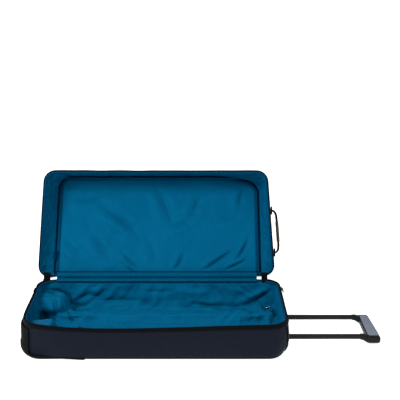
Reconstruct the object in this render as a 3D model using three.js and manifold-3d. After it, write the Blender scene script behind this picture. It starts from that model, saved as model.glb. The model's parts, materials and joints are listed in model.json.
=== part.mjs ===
// Rolling duffel bag lying open on its trolley side: a tray, a lid standing behind it,
// two wheels at the -X end and a telescopic handle pulled out at the +X end.
import * as THREE from 'three';
import { mergeVertices } from 'three/addons/utils/BufferGeometryUtils.js';
import Module from 'manifold-3d';

const wasm = await Module();
wasm.setup();

// Driving dimensions in millimetres. X runs along the bag, Y from front to hinge, Z up.
const gap = 0.3; // left between touching pieces
const wall = 4; // foam-backed fabric shell
const skin = 1.5; // lining
const tray = {
  halfLength: 380, y0: -169, y1: 169, bottom: 3, top: 110,
  endRadius: 45, sideRadius: 12, corner: 55, taper: 0,
};
const lid = {
  halfLength: 380, y0: 8, y1: 346, bottom: -150, top: -1.5,
  endRadius: 40, sideRadius: 32, corner: 42, taper: 0.056,
};
const hinge = { y: tray.y1 + lid.y0, z: tray.top + 2 };
const lidLean = 22; // degrees past upright
const band = { height: 13, skin: 1.2, backHalf: 330 }; // zip tape, left out along the hinge
const wire = { thick: 4, below: 3 }; // plastic rod in each rim hem
const strip = { half: 325, thick: 2.4 }; // fabric hinge
const guard = { thick: 3, reach: 175, top: 90, lip: 20, foot: 15 };
const wheel = { x: -349, y: 101, z: 36, radius: 35, width: 22, hubRadius: 27, bearing: 9.3, axle: 4 };
const housing = { x0: -385, x1: -303, width: 30, top: 78, skin: 2 };
const board = { halfLength: 318, halfWidth: 146, corner: 30, z0: 7.3, z1: 9.8 };
const rail = { x0: -190, x1: 330, width: 14, thick: 2.7, spacing: 90 };
const tube = { y: 67.5, z: 23.5, width: 20, height: 18, skin: 1.5, x0: -290, x1: 352, radius: 5 };
const rod = { width: 15, height: 13, skin: 1.4, x0: 290, x1: 614, radius: 4 };
const channel = { half: 13.5, top: 35 }; // space under the lining for each tube
const stow = 218; // how far the handle slides in
const lock = { x: 279, radius: 2.5, hole: 3.2 };
const grip = { x0: 622, x1: 654, half: 81.5, z0: 6, z1: 28.3, radius: 7, pad: 2.2 };
const linkBar = { x0: 631, x1: 635, half: 69.5, thick: 4 };
const button = { width: 30, height: 10, x1: 657, travel: 4 };
const panel = { bottomS: 14.5, bottomZ: -40, topS: 339.5, topZ: -112, thick: 2 };
const pocketZip = { inset: 22, width: 10, thick: 1.5 };
const outerPocket = {
  half: 250, y0: 55, y1: 240, thick: 5.7, corner: 25, zipHalf: 230, zipY: 222, zipWidth: 12,
};
const handle = {
  s: 152, depth: 75, span: 70, reach: 20, start: 10, width: 26, endWidth: 12, thick: 6,
};
const slider = { long: 14, wide: 9, tall: 4, parkedY: 106 };
const puller = { long: 24, wide: 7, thick: 2.4, lift: 0.6, stub: 1.2 };

const colours = {
  nylon: 0x1f232d, lining: 0x025c82, tape: 0x0d0e12, guard: 0x1c1e1d, metal: 0x17191b,
  plastic: 0x1d1e20, soft: 0x777e8b, rubber: 0x131315, hub: 0x3a3d40, steel: 0x9a9da1,
  board: 0x24262a, webbing: 0x101114, wrap: 0x5b5148, slider: 0x2a2c30,
};
const finishes = {
  nylon: [0.8, 0], lining: [0.55, 0], tape: [0.85, 0], guard: [0.6, 0], metal: [0.4, 0.8],
  plastic: [0.5, 0], soft: [0.65, 0], rubber: [0.9, 0], hub: [0.5, 0], steel: [0.3, 1],
  board: [0.7, 0], webbing: [0.85, 0], wrap: [0.8, 0], slider: [0.35, 0.9],
};

// Solids: geometry in, manifold out, and back.
function solidOf(geometry) {
  const bare = geometry.clone();
  bare.deleteAttribute('normal');
  bare.deleteAttribute('uv');
  const merged = mergeVertices(bare, 1e-4);
  return new wasm.Manifold(new wasm.Mesh({
    numProp: 3,
    vertProperties: Float32Array.from(merged.attributes.position.array),
    triVerts: Uint32Array.from(merged.index.array),
  }));
}

function geometryOf(solid) {
  const mesh = solid.getMesh();
  const geometry = new THREE.BufferGeometry();
  geometry.setAttribute('position', new THREE.BufferAttribute(mesh.vertProperties, 3));
  geometry.setIndex(new THREE.BufferAttribute(mesh.triVerts, 1));
  geometry.computeVertexNormals();
  return geometry;
}

function block(x0, x1, y0, y1, z0, z1) {
  const geometry = new THREE.BoxGeometry(x1 - x0, y1 - y0, z1 - z0);
  return solidOf(geometry.translate((x0 + x1) / 2, (y0 + y1) / 2, (z0 + z1) / 2));
}

// A closed solid through rings that have the same number of points.
function loft(rings) {
  const count = rings[0].length;
  const positions = rings.flat().flatMap((p) => [p.x, p.y, p.z]);
  const index = [];
  for (let i = 0; i + 1 < rings.length; i += 1) {
    for (let j = 0; j < count; j += 1) {
      const a = i * count + j;
      const b = i * count + ((j + 1) % count);
      index.push(a, b, b + count, a, b + count, a + count);
    }
  }
  for (const [ring, flip] of [[0, true], [rings.length - 1, false]]) {
    const centre = positions.length / 3;
    const middle = rings[ring].reduce((sum, p) => sum.add(p), new THREE.Vector3()).divideScalar(count);
    positions.push(middle.x, middle.y, middle.z);
    for (let j = 0; j < count; j += 1) {
      const a = ring * count + j;
      const b = ring * count + ((j + 1) % count);
      index.push(centre, flip ? b : a, flip ? a : b);
    }
  }
  const geometry = new THREE.BufferGeometry();
  geometry.setAttribute('position', new THREE.Float32BufferAttribute(positions, 3));
  geometry.setIndex(index);
  return solidOf(geometry);
}

// Corner points of a rounded rectangle, anticlockwise.
function roundedRectangle(halfU, halfV, radius, steps) {
  const points = [];
  for (let corner = 0; corner < 4; corner += 1) {
    const u = (corner === 0 || corner === 3 ? 1 : -1) * (halfU - radius);
    const v = (corner < 2 ? 1 : -1) * (halfV - radius);
    for (let i = 0; i <= steps; i += 1) {
      const angle = (corner + i / steps) * Math.PI / 2;
      points.push([u + radius * Math.cos(angle), v + radius * Math.sin(angle)]);
    }
  }
  return points;
}

function outline(spec, inset, z, insetX = inset, insetY = inset) {
  const halfX = spec.halfLength - insetX;
  const y0 = spec.y0 + insetY;
  const y1 = spec.y1 - insetY;
  const radius = Math.max(spec.corner - inset, 6);
  return roundedRectangle(halfX, (y1 - y0) / 2, radius, 4).map(([x, v]) => {
    const y = v + (y0 + y1) / 2;
    return new THREE.Vector3(x * (1 - spec.taper * (y - spec.y0) / (spec.y1 - spec.y0)), y, z);
  });
}

function edgeInset(height, radius) {
  return height < radius ? radius - Math.sqrt(radius ** 2 - (radius - height) ** 2) : 0;
}

// A tub with rounded lower edges, moved inwards by an offset; a negative offset grows it.
function tub(spec, offset, top = spec.top, bottom = spec.bottom + offset) {
  const endRadius = spec.endRadius - offset;
  const sideRadius = Math.max(spec.sideRadius - offset, 1);
  const floor = spec.bottom + offset;
  const levels = new Set([bottom, top]);
  for (const radius of [endRadius, sideRadius]) {
    for (let i = 1; i <= 3; i += 1) {
      const level = floor + radius * (1 - Math.cos(i * Math.PI / 6));
      if (level > bottom + 0.5 && level < top) levels.add(level);
    }
  }
  const sorted = [...levels].sort((a, b) => a - b);
  return loft(sorted.map((z) => outline(
    spec, offset, z,
    offset + edgeInset(z - floor, endRadius),
    offset + edgeInset(z - floor, sideRadius),
  )));
}

// A rim-following hoop between two offsets and two heights.
function hoop(spec, outer, inner, z0, z1) {
  const outside = loft([z0, z1].map((z) => outline(spec, outer, z)));
  const inside = loft([z0 - 1, z1 + 1].map((z) => outline(spec, inner, z)));
  return outside.subtract(inside);
}

// A straight bar along X with a rounded section, optionally hollow.
function bar(x0, x1, y, z, width, height, radius, hollow = 0) {
  const section = (w, h, r, x) => roundedRectangle(w / 2, h / 2, r, 3)
    .map(([u, v]) => new THREE.Vector3(x, y + u, z + v));
  const solid = loft([x0, x1].map((x) => section(width, height, radius, x)));
  if (!hollow) return solid;
  const inner = [x0 - 1, x1 + 1].map((x) => (
    section(width - 2 * hollow, height - 2 * hollow, radius - hollow, x)
  ));
  return solid.subtract(loft(inner));
}

function cylinderY(radius, y0, y1, x, z, segments = 16) {
  const geometry = new THREE.CylinderGeometry(radius, radius, y1 - y0, segments);
  return solidOf(geometry.translate(x, (y0 + y1) / 2, z));
}

// A ring turned about the wheel's axis from a closed profile of [radius, across] points.
function turned(profile, x, y, z) {
  const points = [...profile, profile[0]].map(([r, a]) => new THREE.Vector2(r, a));
  return new THREE.LatheGeometry(points, 24).translate(x, y, z);
}

function plate(halfX, y0, y1, z0, z1, radius) {
  const ring = (z) => roundedRectangle(halfX, (y1 - y0) / 2, radius, 5)
    .map(([x, v]) => new THREE.Vector3(x, v + (y0 + y1) / 2, z));
  return loft([ring(z0), ring(z1)]);
}

const bag = new THREE.Group();
const lidGroup = new THREE.Group();
lidGroup.position.set(0, hinge.y, hinge.z);
lidGroup.rotation.x = THREE.MathUtils.degToRad(90 - lidLean);
bag.add(lidGroup);

function add(name, shape, look, parent = bag) {
  const [roughness, metalness] = finishes[look];
  const material = new THREE.MeshStandardMaterial({ color: colours[look], roughness, metalness });
  const geometry = shape.isBufferGeometry ? shape : geometryOf(shape);
  const mesh = new THREE.Mesh(geometry, material);
  mesh.name = name;
  parent.add(mesh);
  return mesh;
}

const sides = [['front', -1], ['rear', 1]];

function housingBox(side, grow) {
  const middle = side * wheel.y;
  const half = housing.width / 2 + grow;
  return block(housing.x0 - 20, housing.x1 + grow, middle - half, middle + half, -20, housing.top + grow);
}

function socketBox(side, grow) {
  const half = channel.half - 0.5 + grow;
  const under = board.z1 + gap - grow;
  const over = channel.top - 0.5 + grow;
  return block(345 - grow, 400, side * tube.y - half, side * tube.y + half, under, over);
}

function channelBox(side, grow) {
  const half = channel.half + grow;
  return block(-303 - grow, 385, side * tube.y - half, side * tube.y + half, 0, channel.top + grow);
}

// Tray: shell, stiffening board, lining, zip tape, rim wire and skid rails.
function makeTray() {
  let shell = tub(tray, 0).subtract(tub(tray, wall, tray.top + 5));
  let lining = tub(tray, wall + gap, tray.top - 9, board.z1 + gap);
  let hollow = tub(tray, wall + gap + skin, tray.top + 5, board.z1 + gap + skin);
  const { halfLength, halfWidth, z0, z1, corner } = board;
  let stiffener = plate(halfLength, -halfWidth, halfWidth, z0, z1, corner);
  for (const [, side] of sides) {
    shell = shell.subtract(housingBox(side, gap)).subtract(socketBox(side, gap));
    stiffener = stiffener.subtract(housingBox(side, 1));
    hollow = hollow.subtract(housingBox(side, 4.3)).subtract(channelBox(side, skin));
  }
  lining = lining.subtract(hollow);
  for (const [, side] of sides) {
    lining = lining.subtract(housingBox(side, 2.8)).subtract(channelBox(side, 0));
  }
  add('tray_shell', shell, 'nylon');
  add('base_board', stiffener, 'board');
  add('tray_lining', lining, 'lining');
  const hingeSide = block(-band.backHalf, band.backHalf, 100, 200, 0, 200);
  const tape = hoop(tray, -gap - band.skin, -gap, tray.top - 0.5 - band.height, tray.top - 0.5);
  add('tray_zip_tape', tape.subtract(hingeSide), 'tape');
  const inset = wall + gap;
  const wireTop = tray.top - wire.below;
  add('tray_rim_wire', hoop(tray, inset, inset + wire.thick, wireTop - wire.thick, wireTop), 'board');
  for (const [name, offset] of [['front', -1], ['middle', 0], ['rear', 1]]) {
    const y = offset * rail.spacing;
    const half = rail.width / 2;
    const ring = (z, cut) => roundedRectangle((rail.x1 - rail.x0) / 2 - cut, half - cut, 4, 3)
      .map(([u, v]) => new THREE.Vector3(u + (rail.x0 + rail.x1) / 2, y + v, z));
    add(`skid_rail_${name}`, loft([ring(0, 1.5), ring(1.5, 0), ring(rail.thick, 0)]), 'guard');
  }
}

// Moulded guard round the wheel end, open where the wheels come through.
function makeKickPlate() {
  const windowFrom = -tray.halfLength + guard.lip;
  const edge = -tray.halfLength + guard.reach;
  let plateSolid = tub(tray, -guard.thick, guard.top).subtract(tub(tray, -gap, guard.top + 5));
  plateSolid = plateSolid.intersect(block(-400, edge, -200, 200, -10, guard.top));
  for (const [, side] of sides) {
    const y = [side * 140, side * 220].sort((a, b) => a - b);
    plateSolid = plateSolid.subtract(block(windowFrom, edge + 5, y[0], y[1], guard.foot, 200));
    plateSolid = plateSolid.subtract(housingBox(side, gap));
  }
  add('kick_plate', plateSolid, 'guard');
}

function makeWheels() {
  for (const [name, side] of sides) {
    const y = side * wheel.y;
    const half = housing.width / 2;
    const box = block(housing.x0 - 20, housing.x1, y - half, y + half, -20, housing.top);
    const inner = half - housing.skin;
    const roof = housing.top - housing.skin;
    const room = block(-420, housing.x1 - housing.skin, y - inner, y + inner, -30, roof);
    const bore = cylinderY(wheel.axle + gap, y - 30, y + 30, wheel.x, wheel.z);
    const cup = box.intersect(tub(tray, -guard.thick, tray.top)).subtract(room).subtract(bore);
    add(`wheel_housing_${name}`, cup, 'guard');

    const across = wheel.width / 2;
    const shoulder = 4;
    const tyre = [
      [wheel.hubRadius, -across], [wheel.radius - shoulder, -across], [wheel.radius - 1, 1.5 - across],
      [wheel.radius, 5 - across], [wheel.radius, across - 5], [wheel.radius - 1, across - 1.5],
      [wheel.radius - shoulder, across], [wheel.hubRadius, across],
    ];
    add(`tyre_${name}`, turned(tyre, wheel.x, y, wheel.z), 'rubber');
    const rim = wheel.hubRadius - gap;
    const web = 4;
    const hub = [
      [wheel.bearing, -6], [wheel.bearing + 4, -6], [wheel.bearing + 5, -web],
      [rim - 4, -web], [rim - 3, 1 - across], [rim, 1 - across],
      [rim, across - 1], [rim - 3, across - 1], [rim - 4, web],
      [wheel.bearing + 5, web], [wheel.bearing + 4, 6], [wheel.bearing, 6],
    ];
    add(`hub_${name}`, turned(hub, wheel.x, y, wheel.z), 'hub');
    const raceInner = wheel.axle + 0.4;
    const raceOuter = wheel.bearing - gap;
    const race = [[raceInner, -4], [raceOuter, -4], [raceOuter, 4], [raceInner, 4]];
    add(`bearing_${name}`, turned(race, wheel.x, y, wheel.z), 'steel');
    const pin = cylinderY(wheel.axle, y - half - gap, y + half + gap, wheel.x, wheel.z);
    const heads = [-1, 1].map((end) => {
      const faces = [y + end * (half + gap), y + end * (half + 2.3)].sort((a, b) => a - b);
      return cylinderY(6.5, faces[0], faces[1], wheel.x, wheel.z);
    });
    add(`axle_${name}`, pin.add(heads[0]).add(heads[1]), 'steel');
  }
}

// Fixed outer tubes with their feet and exit sockets, and the sliding handle.
function makeHandle() {
  const bushWidth = tube.width - 2 * tube.skin - 2 * gap;
  const bushHeight = tube.height - 2 * tube.skin - 2 * gap;
  for (const [name, side] of sides) {
    const y = side * tube.y;
    const sleeve = (x0, x1, grow, hollow = 0) => bar(
      x0, x1, y, tube.z, tube.width + grow, tube.height + grow, tube.radius, hollow,
    );
    const rodBar = (x0, x1, grow, hollow = 0) => bar(
      x0, x1, y, tube.z, rod.width + grow, rod.height + grow, rod.radius, hollow,
    );
    let outer = sleeve(tube.x0, tube.x1, 0, tube.skin);
    for (const x of [lock.x, lock.x - stow]) {
      const ends = [y, y + side * 15].sort((a, b) => a - b);
      outer = outer.subtract(cylinderY(lock.hole, ends[0], ends[1], x, tube.z, 12));
    }
    add(`outer_tube_${name}`, outer, 'metal');
    const foot = block(-302, -275, y - 13, y + 13, board.z1 + gap, channel.top - 0.5)
      .subtract(sleeve(tube.x0 - gap, -200, 2 * gap));
    add(`tube_foot_${name}`, foot, 'plastic');
    const socket = socketBox(side, 0).intersect(tub(tray, -1.5, tray.top))
      .subtract(sleeve(300, tube.x1 + gap, 2 * gap))
      .subtract(rodBar(300, 420, 0.8));
    add(`tube_socket_${name}`, socket, 'plastic');

    add(`rod_${name}`, rodBar(rod.x0, rod.x1, 0, rod.skin), 'metal');
    const pinHole = [y, y + side * 12].sort((a, b) => a - b);
    const bush = bar(rod.x0 - 18, rod.x0 - gap, y, tube.z, bushWidth, bushHeight, 3.5)
      .subtract(block(rod.x0 - 25, rod.x0 + 5, y - 3, y + 3, tube.z - 3, tube.z + 3))
      .subtract(cylinderY(lock.radius + 0.4, pinHole[0], pinHole[1], lock.x, tube.z, 12));
    add(`rod_bush_${name}`, bush, 'plastic');
    const pin = [y + side * 1.5, y + side * 7.9].sort((a, b) => a - b);
    add(`lock_pin_${name}`, cylinderY(lock.radius, pin[0], pin[1], lock.x, tube.z, 12), 'steel');
  }
  makeGrip();
}

function makeGrip() {
  const middleX = (grip.x0 + grip.x1) / 2;
  const middleZ = (grip.z0 + grip.z1) / 2;
  const halfX = (grip.x1 - grip.x0) / 2;
  const halfZ = (grip.z1 - grip.z0) / 2;
  const ring = (y, cut) => roundedRectangle(halfX - cut, halfZ - cut, grip.radius, 4)
    .map(([u, v]) => new THREE.Vector3(middleX - u, y, middleZ + v));
  const ends = [[0, 4], [4, 0.5], [8, 0]];
  const rings = ends.map(([inset, cut]) => ring(inset - grip.half, cut));
  rings.push(...ends.reverse().map(([inset, cut]) => ring(grip.half - inset, cut)));
  let frame = loft(rings);
  for (const [, side] of sides) {
    const y = side * tube.y;
    const section = (x, width, height, z) => roundedRectangle(width / 2, height / 2, 4.5, 3)
      .map(([u, v]) => new THREE.Vector3(x, y + u, z + v));
    const neck = loft([
      section(602, 18.5, 16.5, tube.z), section(611, 19.5, 18, tube.z - 1),
      section(622, 22, 19.5, tube.z - 6), section(634, 23, 21.5, middleZ),
    ]);
    frame = frame.add(neck);
    const socket = bar(590, rod.x1 + gap, y, tube.z, rod.width + 2 * gap, rod.height + 2 * gap, rod.radius);
    frame = frame.subtract(socket);
    frame = frame.subtract(block(610, linkBar.x0, y - 3, y + 3, tube.z - 3, tube.z + 3));
  }
  const cavityFrom = linkBar.x0 - button.travel - 0.6;
  const cavityHalf = linkBar.half + 2;
  const cavityTo = linkBar.x1 + 0.6;
  frame = frame.subtract(block(cavityFrom, cavityTo, -cavityHalf, cavityHalf, tube.z - 3, tube.z + 3));
  frame = frame.subtract(block(
    linkBar.x1 - button.travel - 0.4, grip.x1 + 10, -button.width / 2 - 0.4, button.width / 2 + 0.4,
    middleZ - button.height / 2 - 0.4, middleZ + button.height / 2 + 0.4,
  ));
  add('grip_frame', frame, 'plastic');
  const padHalf = grip.half - 10;
  const padRing = (z, cut) => roundedRectangle(13 - cut, padHalf - cut, 8 - cut, 4)
    .map(([u, v]) => new THREE.Vector3(middleX + u, v, z));
  const padFrom = grip.z1 + gap;
  const pad = loft([padRing(padFrom, 0), padRing(padFrom + 1, 0), padRing(padFrom + grip.pad, 2)]);
  add('grip_pad', pad, 'soft');
  add('release_button', block(
    linkBar.x1 + gap, button.x1, -button.width / 2, button.width / 2,
    middleZ - button.height / 2, middleZ + button.height / 2,
  ), 'plastic');
  const thin = linkBar.thick / 2;
  let linkage = block(linkBar.x0, linkBar.x1, -linkBar.half, linkBar.half, tube.z - thin, tube.z + thin);
  for (const [, side] of sides) {
    const y = side * tube.y;
    const pushRod = block(rod.x0 + 2, linkBar.x0 + 1, y - thin, y + thin, tube.z - thin, tube.z + thin);
    linkage = linkage.add(pushRod);
  }
  add('release_linkage', linkage, 'steel');
}

// Fabric hinge halves and the short zip ends beside them.
function makeHinge() {
  const top = tray.top - 0.6;
  const onTray = block(-strip.half, strip.half, tray.y1 + gap, hinge.y - 1.5, top - strip.thick, top);
  const onLid = block(-strip.half, strip.half, 1.5, lid.y0 - gap, -2 - strip.thick, -2);
  add('hinge_strip_tray', onTray, 'lining');
  add('hinge_strip_lid', onLid, 'lining', lidGroup);
  for (const [name, side] of [['left', -1], ['right', 1]]) {
    const x = [side * 345, side * 366].sort((a, b) => a - b);
    const patch = block(x[0], x[1], 140, hinge.y - 1.5, top - 3.5, top)
      .subtract(tub(tray, -2 * gap - band.skin, tray.top + 5));
    add(`zip_end_${name}`, patch, 'tape');
  }
}

function makeLid() {
  add('lid_shell', tub(lid, 0).subtract(tub(lid, wall, 5)), 'nylon', lidGroup);
  const lining = tub(lid, wall + gap, -9).subtract(tub(lid, wall + gap + skin, 5));
  add('lid_lining', lining, 'lining', lidGroup);
  const hingeSide = block(-band.backHalf, band.backHalf, -20, 60, -200, 50);
  const tape = hoop(lid, -gap - band.skin, -gap, lid.top - band.height, lid.top);
  add('lid_zip_tape', tape.subtract(hingeSide), 'tape', lidGroup);
  const inset = wall + gap;
  add('lid_rim_wire', hoop(lid, inset, inset + wire.thick, lid.top - 5, lid.top - 1), 'board', lidGroup);

  // Zipped panel slanting across the lid, with its zip and slider.
  const rise = panel.topS - panel.bottomS;
  const drop = panel.topZ - panel.bottomZ;
  const length = Math.hypot(rise, drop);
  const panelGroup = new THREE.Group();
  panelGroup.position.set(0, panel.bottomS, panel.bottomZ);
  panelGroup.rotation.x = Math.atan2(drop, rise);
  lidGroup.add(panelGroup);
  const sheet = {
    halfLength: lid.halfLength - wall - skin - 4 * gap, y0: 0, y1: length, corner: 37, taper: lid.taper,
  };
  add('pocket_panel', loft([0, panel.thick].map((z) => outline(sheet, 0, z))), 'lining', panelGroup);
  const zipFrom = panel.thick + gap;
  const zipTo = zipFrom + pocketZip.thick;
  const zipBand = hoop(sheet, pocketZip.inset, pocketZip.inset + pocketZip.width, zipFrom, zipTo)
    .subtract(block(-400, 400, -10, 50, -10, 20));
  add('pocket_zip', zipBand, 'tape', panelGroup);
  const zipX = -(sheet.halfLength - pocketZip.inset - pocketZip.width / 2) * (1 - lid.taper * 0.2);
  const tilt = Math.atan(sheet.halfLength * lid.taper / length);
  const sliderGroup = new THREE.Group();
  sliderGroup.position.set(zipX, 66, zipTo + gap);
  sliderGroup.rotation.z = -tilt;
  panelGroup.add(sliderGroup);
  addSlider('pocket', sliderGroup);

  // Flat zipped pocket on the outside.
  const face = lid.bottom - gap;
  const { half, y0, y1, thick, corner } = outerPocket;
  add('outer_pocket', plate(half, y0, y1, face - thick, face, corner), 'nylon', lidGroup);
  const zipFace = face - thick - gap;
  const { zipHalf, zipY, zipWidth } = outerPocket;
  const zipStrip = plate(zipHalf, zipY - zipWidth / 2, zipY + zipWidth / 2, zipFace - skin, zipFace, 3);
  add('outer_pocket_zip', zipStrip, 'tape', lidGroup);
  const outerGroup = new THREE.Group();
  outerGroup.position.set(-200, zipY, zipFace - skin - gap);
  outerGroup.rotation.set(Math.PI, 0, -Math.PI / 2);
  lidGroup.add(outerGroup);
  addSlider('outer_pocket', outerGroup);
  makeCarryHandle();
}

// A zip slider lying on local Z = 0 and running along local Y, with its pull tab.
function addSlider(name, parent) {
  const body = block(-slider.wide / 2, slider.wide / 2, -slider.long / 2, slider.long / 2, 0, slider.tall);
  const z = slider.tall + puller.lift;
  const tab = block(-puller.wide / 2, puller.wide / 2, -puller.long, puller.stub, z, z + puller.thick);
  add(`${name}_slider`, body, 'slider', parent);
  add(`${name}_puller`, tab, 'tape', parent);
}

function makeMainSliders() {
  for (const [name, side] of [['left', -1], ['right', 1]]) {
    const group = new THREE.Group();
    group.position.set(side * (tray.halfLength + 2 * gap + band.skin), slider.parkedY, tray.top - 7.5);
    group.rotation.y = side * Math.PI / 2;
    bag.add(group);
    addSlider(`main_${name}`, group);
  }
}

function makeCarryHandle() {
  const along = (handle.s - lid.y0) / (lid.y1 - lid.y0);
  const group = new THREE.Group();
  group.position.set(lid.halfLength * (1 - lid.taper * along) + gap, handle.s, -handle.depth);
  group.rotation.z = Math.atan(lid.halfLength * lid.taper / (lid.y1 - lid.y0));
  lidGroup.add(group);
  for (const [name, end] of [['lower', -1], ['upper', 1]]) {
    const y = end * handle.span;
    const base = block(0, 3, y - 14, y + 14, -16, 16);
    add(`handle_anchor_${name}`, base.add(block(2, 6.5, y - 9, y + 9, -1.8, 1.8)), 'webbing', group);
  }
  // The strap's centre line bows out between the anchors, and it widens away from them.
  const steps = 12;
  const ring = (i, width, thick) => {
    const t = 2 * i / steps - 1;
    const y = handle.span * t;
    const x = handle.start + handle.reach * (1 - t ** 4);
    const slope = new THREE.Vector2(1, -4 * handle.reach * t ** 3 / handle.span).normalize();
    return roundedRectangle(width / 2, thick / 2, thick / 3, 1).map(([u, v]) => new THREE.Vector3(
      x + v * slope.x, y - v * slope.y, u,
    ));
  };
  const widthAt = (i) => {
    const fromEnd = Math.min(i, steps - i) / 3;
    return handle.endWidth + (handle.width - handle.endWidth) * Math.min(fromEnd, 1);
  };
  const all = [...Array(steps + 1).keys()];
  add('carry_strap', loft(all.map((i) => ring(i, widthAt(i), handle.thick))), 'webbing', group);
  const middle = all.filter((i) => i > 3 && i < steps - 3);
  const sleeve = loft(middle.map((i) => ring(i, handle.width + 4, handle.thick + 3)));
  const longer = all.filter((i) => i > 2 && i < steps - 2);
  const room = loft(longer.map((i) => ring(i, handle.width + 2 * gap, handle.thick + 2 * gap)));
  add('strap_wrap', sleeve.subtract(room), 'wrap', group);
}

makeTray();
makeKickPlate();
makeWheels();
makeHandle();
makeHinge();
makeLid();
makeMainSliders();

export default bag;
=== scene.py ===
import json
import math

import bmesh
import bpy
import numpy as np
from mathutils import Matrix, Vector, noise


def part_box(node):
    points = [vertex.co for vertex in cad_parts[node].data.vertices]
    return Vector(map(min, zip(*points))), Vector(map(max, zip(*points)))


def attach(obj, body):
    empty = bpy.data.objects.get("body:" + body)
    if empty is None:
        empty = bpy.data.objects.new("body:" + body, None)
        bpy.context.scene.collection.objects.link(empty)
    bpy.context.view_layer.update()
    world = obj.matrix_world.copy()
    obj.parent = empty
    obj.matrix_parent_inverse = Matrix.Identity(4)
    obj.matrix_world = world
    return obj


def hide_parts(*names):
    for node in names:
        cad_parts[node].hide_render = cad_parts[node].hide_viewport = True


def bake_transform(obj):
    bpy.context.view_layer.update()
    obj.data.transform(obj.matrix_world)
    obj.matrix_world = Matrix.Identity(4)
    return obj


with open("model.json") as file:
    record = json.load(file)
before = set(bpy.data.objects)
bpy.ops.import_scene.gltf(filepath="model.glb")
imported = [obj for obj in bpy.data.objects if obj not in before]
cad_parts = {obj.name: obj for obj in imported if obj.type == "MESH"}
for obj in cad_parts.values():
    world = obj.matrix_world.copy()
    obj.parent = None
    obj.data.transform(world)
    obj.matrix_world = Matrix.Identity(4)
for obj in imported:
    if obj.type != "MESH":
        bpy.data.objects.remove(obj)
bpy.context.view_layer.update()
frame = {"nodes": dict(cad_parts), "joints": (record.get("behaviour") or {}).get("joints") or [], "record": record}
scene = bpy.context.scene
scene.view_settings.view_transform = "Standard"
print("frame loaded")

# Camera, pale floor and soft studio light

studioSet = {
    "cameraAt": (0.1238, -2.2592, 1.0980),
    "lookDown": 16.60,        # degrees
    "lens": 73.25,
    "shift": 0.0042,
    "world": 0.50,
    "floorGlow": 0.80,
    "floorSize": 60.0,
    "floorColour": (0.93, 0.93, 0.93),
}

softBoxes = [  # name, place, aimed at, size, watts
    ("keyBox", (-1.5, -1.5, 2.2), (0.0, 0.15, 0.1), 1.0, 58.0),
    ("fillBox", (1.9, -1.8, 1.6), (0.1, 0.1, 0.15), 1.8, 10.0),
    ("topBox", (0.3, 0.2, 2.8), (0.0, 0.0, 0.0), 1.2, 14.0),
]


def smoothStep(value):
    clipped = np.clip(value, 0.0, 1.0)
    return clipped * clipped * (3.0 - 2.0 * clipped)


def addNode(tree, kind, settings=None, inputs=None):
    made = tree.nodes.new("ShaderNode" + kind)
    for key, value in (settings or {}).items():
        setattr(made, key, value)
    for key, value in (inputs or {}).items():
        made.inputs[key].default_value = value
    return made


def makeStudio():
    cameraData = bpy.data.cameras.new("studioCamera")
    cameraData.lens = studioSet["lens"]
    cameraData.shift_x = studioSet["shift"]
    camera = bpy.data.objects.new("studioCamera", cameraData)
    camera.location = studioSet["cameraAt"]
    camera.rotation_euler = (math.radians(90.0 - studioSet["lookDown"]), 0.0, 0.0)
    scene.collection.objects.link(camera)
    scene.camera = camera

    world = bpy.data.worlds.new("paleRoom")
    world.use_nodes = True
    background = world.node_tree.nodes["Background"]
    background.inputs["Color"].default_value = (1.0, 1.0, 1.0, 1.0)
    background.inputs["Strength"].default_value = studioSet["world"]
    scene.world = world

    for name, place, target, size, watts in softBoxes:
        lightData = bpy.data.lights.new(name, "AREA")
        lightData.size = size
        lightData.energy = watts
        light = bpy.data.objects.new(name, lightData)
        light.location = place
        direction = Vector(target) - Vector(place)
        light.rotation_euler = direction.to_track_quat("-Z", "Y").to_euler()
        scene.collection.objects.link(light)

    half = studioSet["floorSize"] / 2
    mesh = bpy.data.meshes.new("studioFloor")
    corners = [(-half, -half, 0), (half, -half, 0), (half, half, 0), (-half, half, 0)]
    mesh.from_pydata(corners, [], [(0, 1, 2, 3)])
    floor = bpy.data.objects.new("studioFloor", mesh)
    scene.collection.objects.link(floor)
    material = bpy.data.materials.new("floorPaint")
    material.use_nodes = True
    tree = material.node_tree
    shader = tree.nodes["Principled BSDF"]
    grain = addNode(tree, "TexNoise", inputs={"Scale": 3.0})
    ramp = addNode(tree, "ValToRGB")
    pale = studioSet["floorColour"]
    ramp.color_ramp.elements[0].color = (*[c * 0.99 for c in pale], 1)
    ramp.color_ramp.elements[1].color = (*pale, 1)
    tree.links.new(grain.outputs["Fac"], ramp.inputs["Fac"])
    tree.links.new(ramp.outputs["Color"], shader.inputs["Base Color"])
    shader.inputs["Roughness"].default_value = 0.9
    shader.inputs["Specular IOR Level"].default_value = 0.1
    shader.inputs["Emission Color"].default_value = (1.0, 1.0, 1.0, 1.0)
    shader.inputs["Emission Strength"].default_value = studioSet["floorGlow"]
    mesh.materials.append(material)


makeStudio()
print("studio ready")

# Finishes: one node material for each material slot of the record

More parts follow.
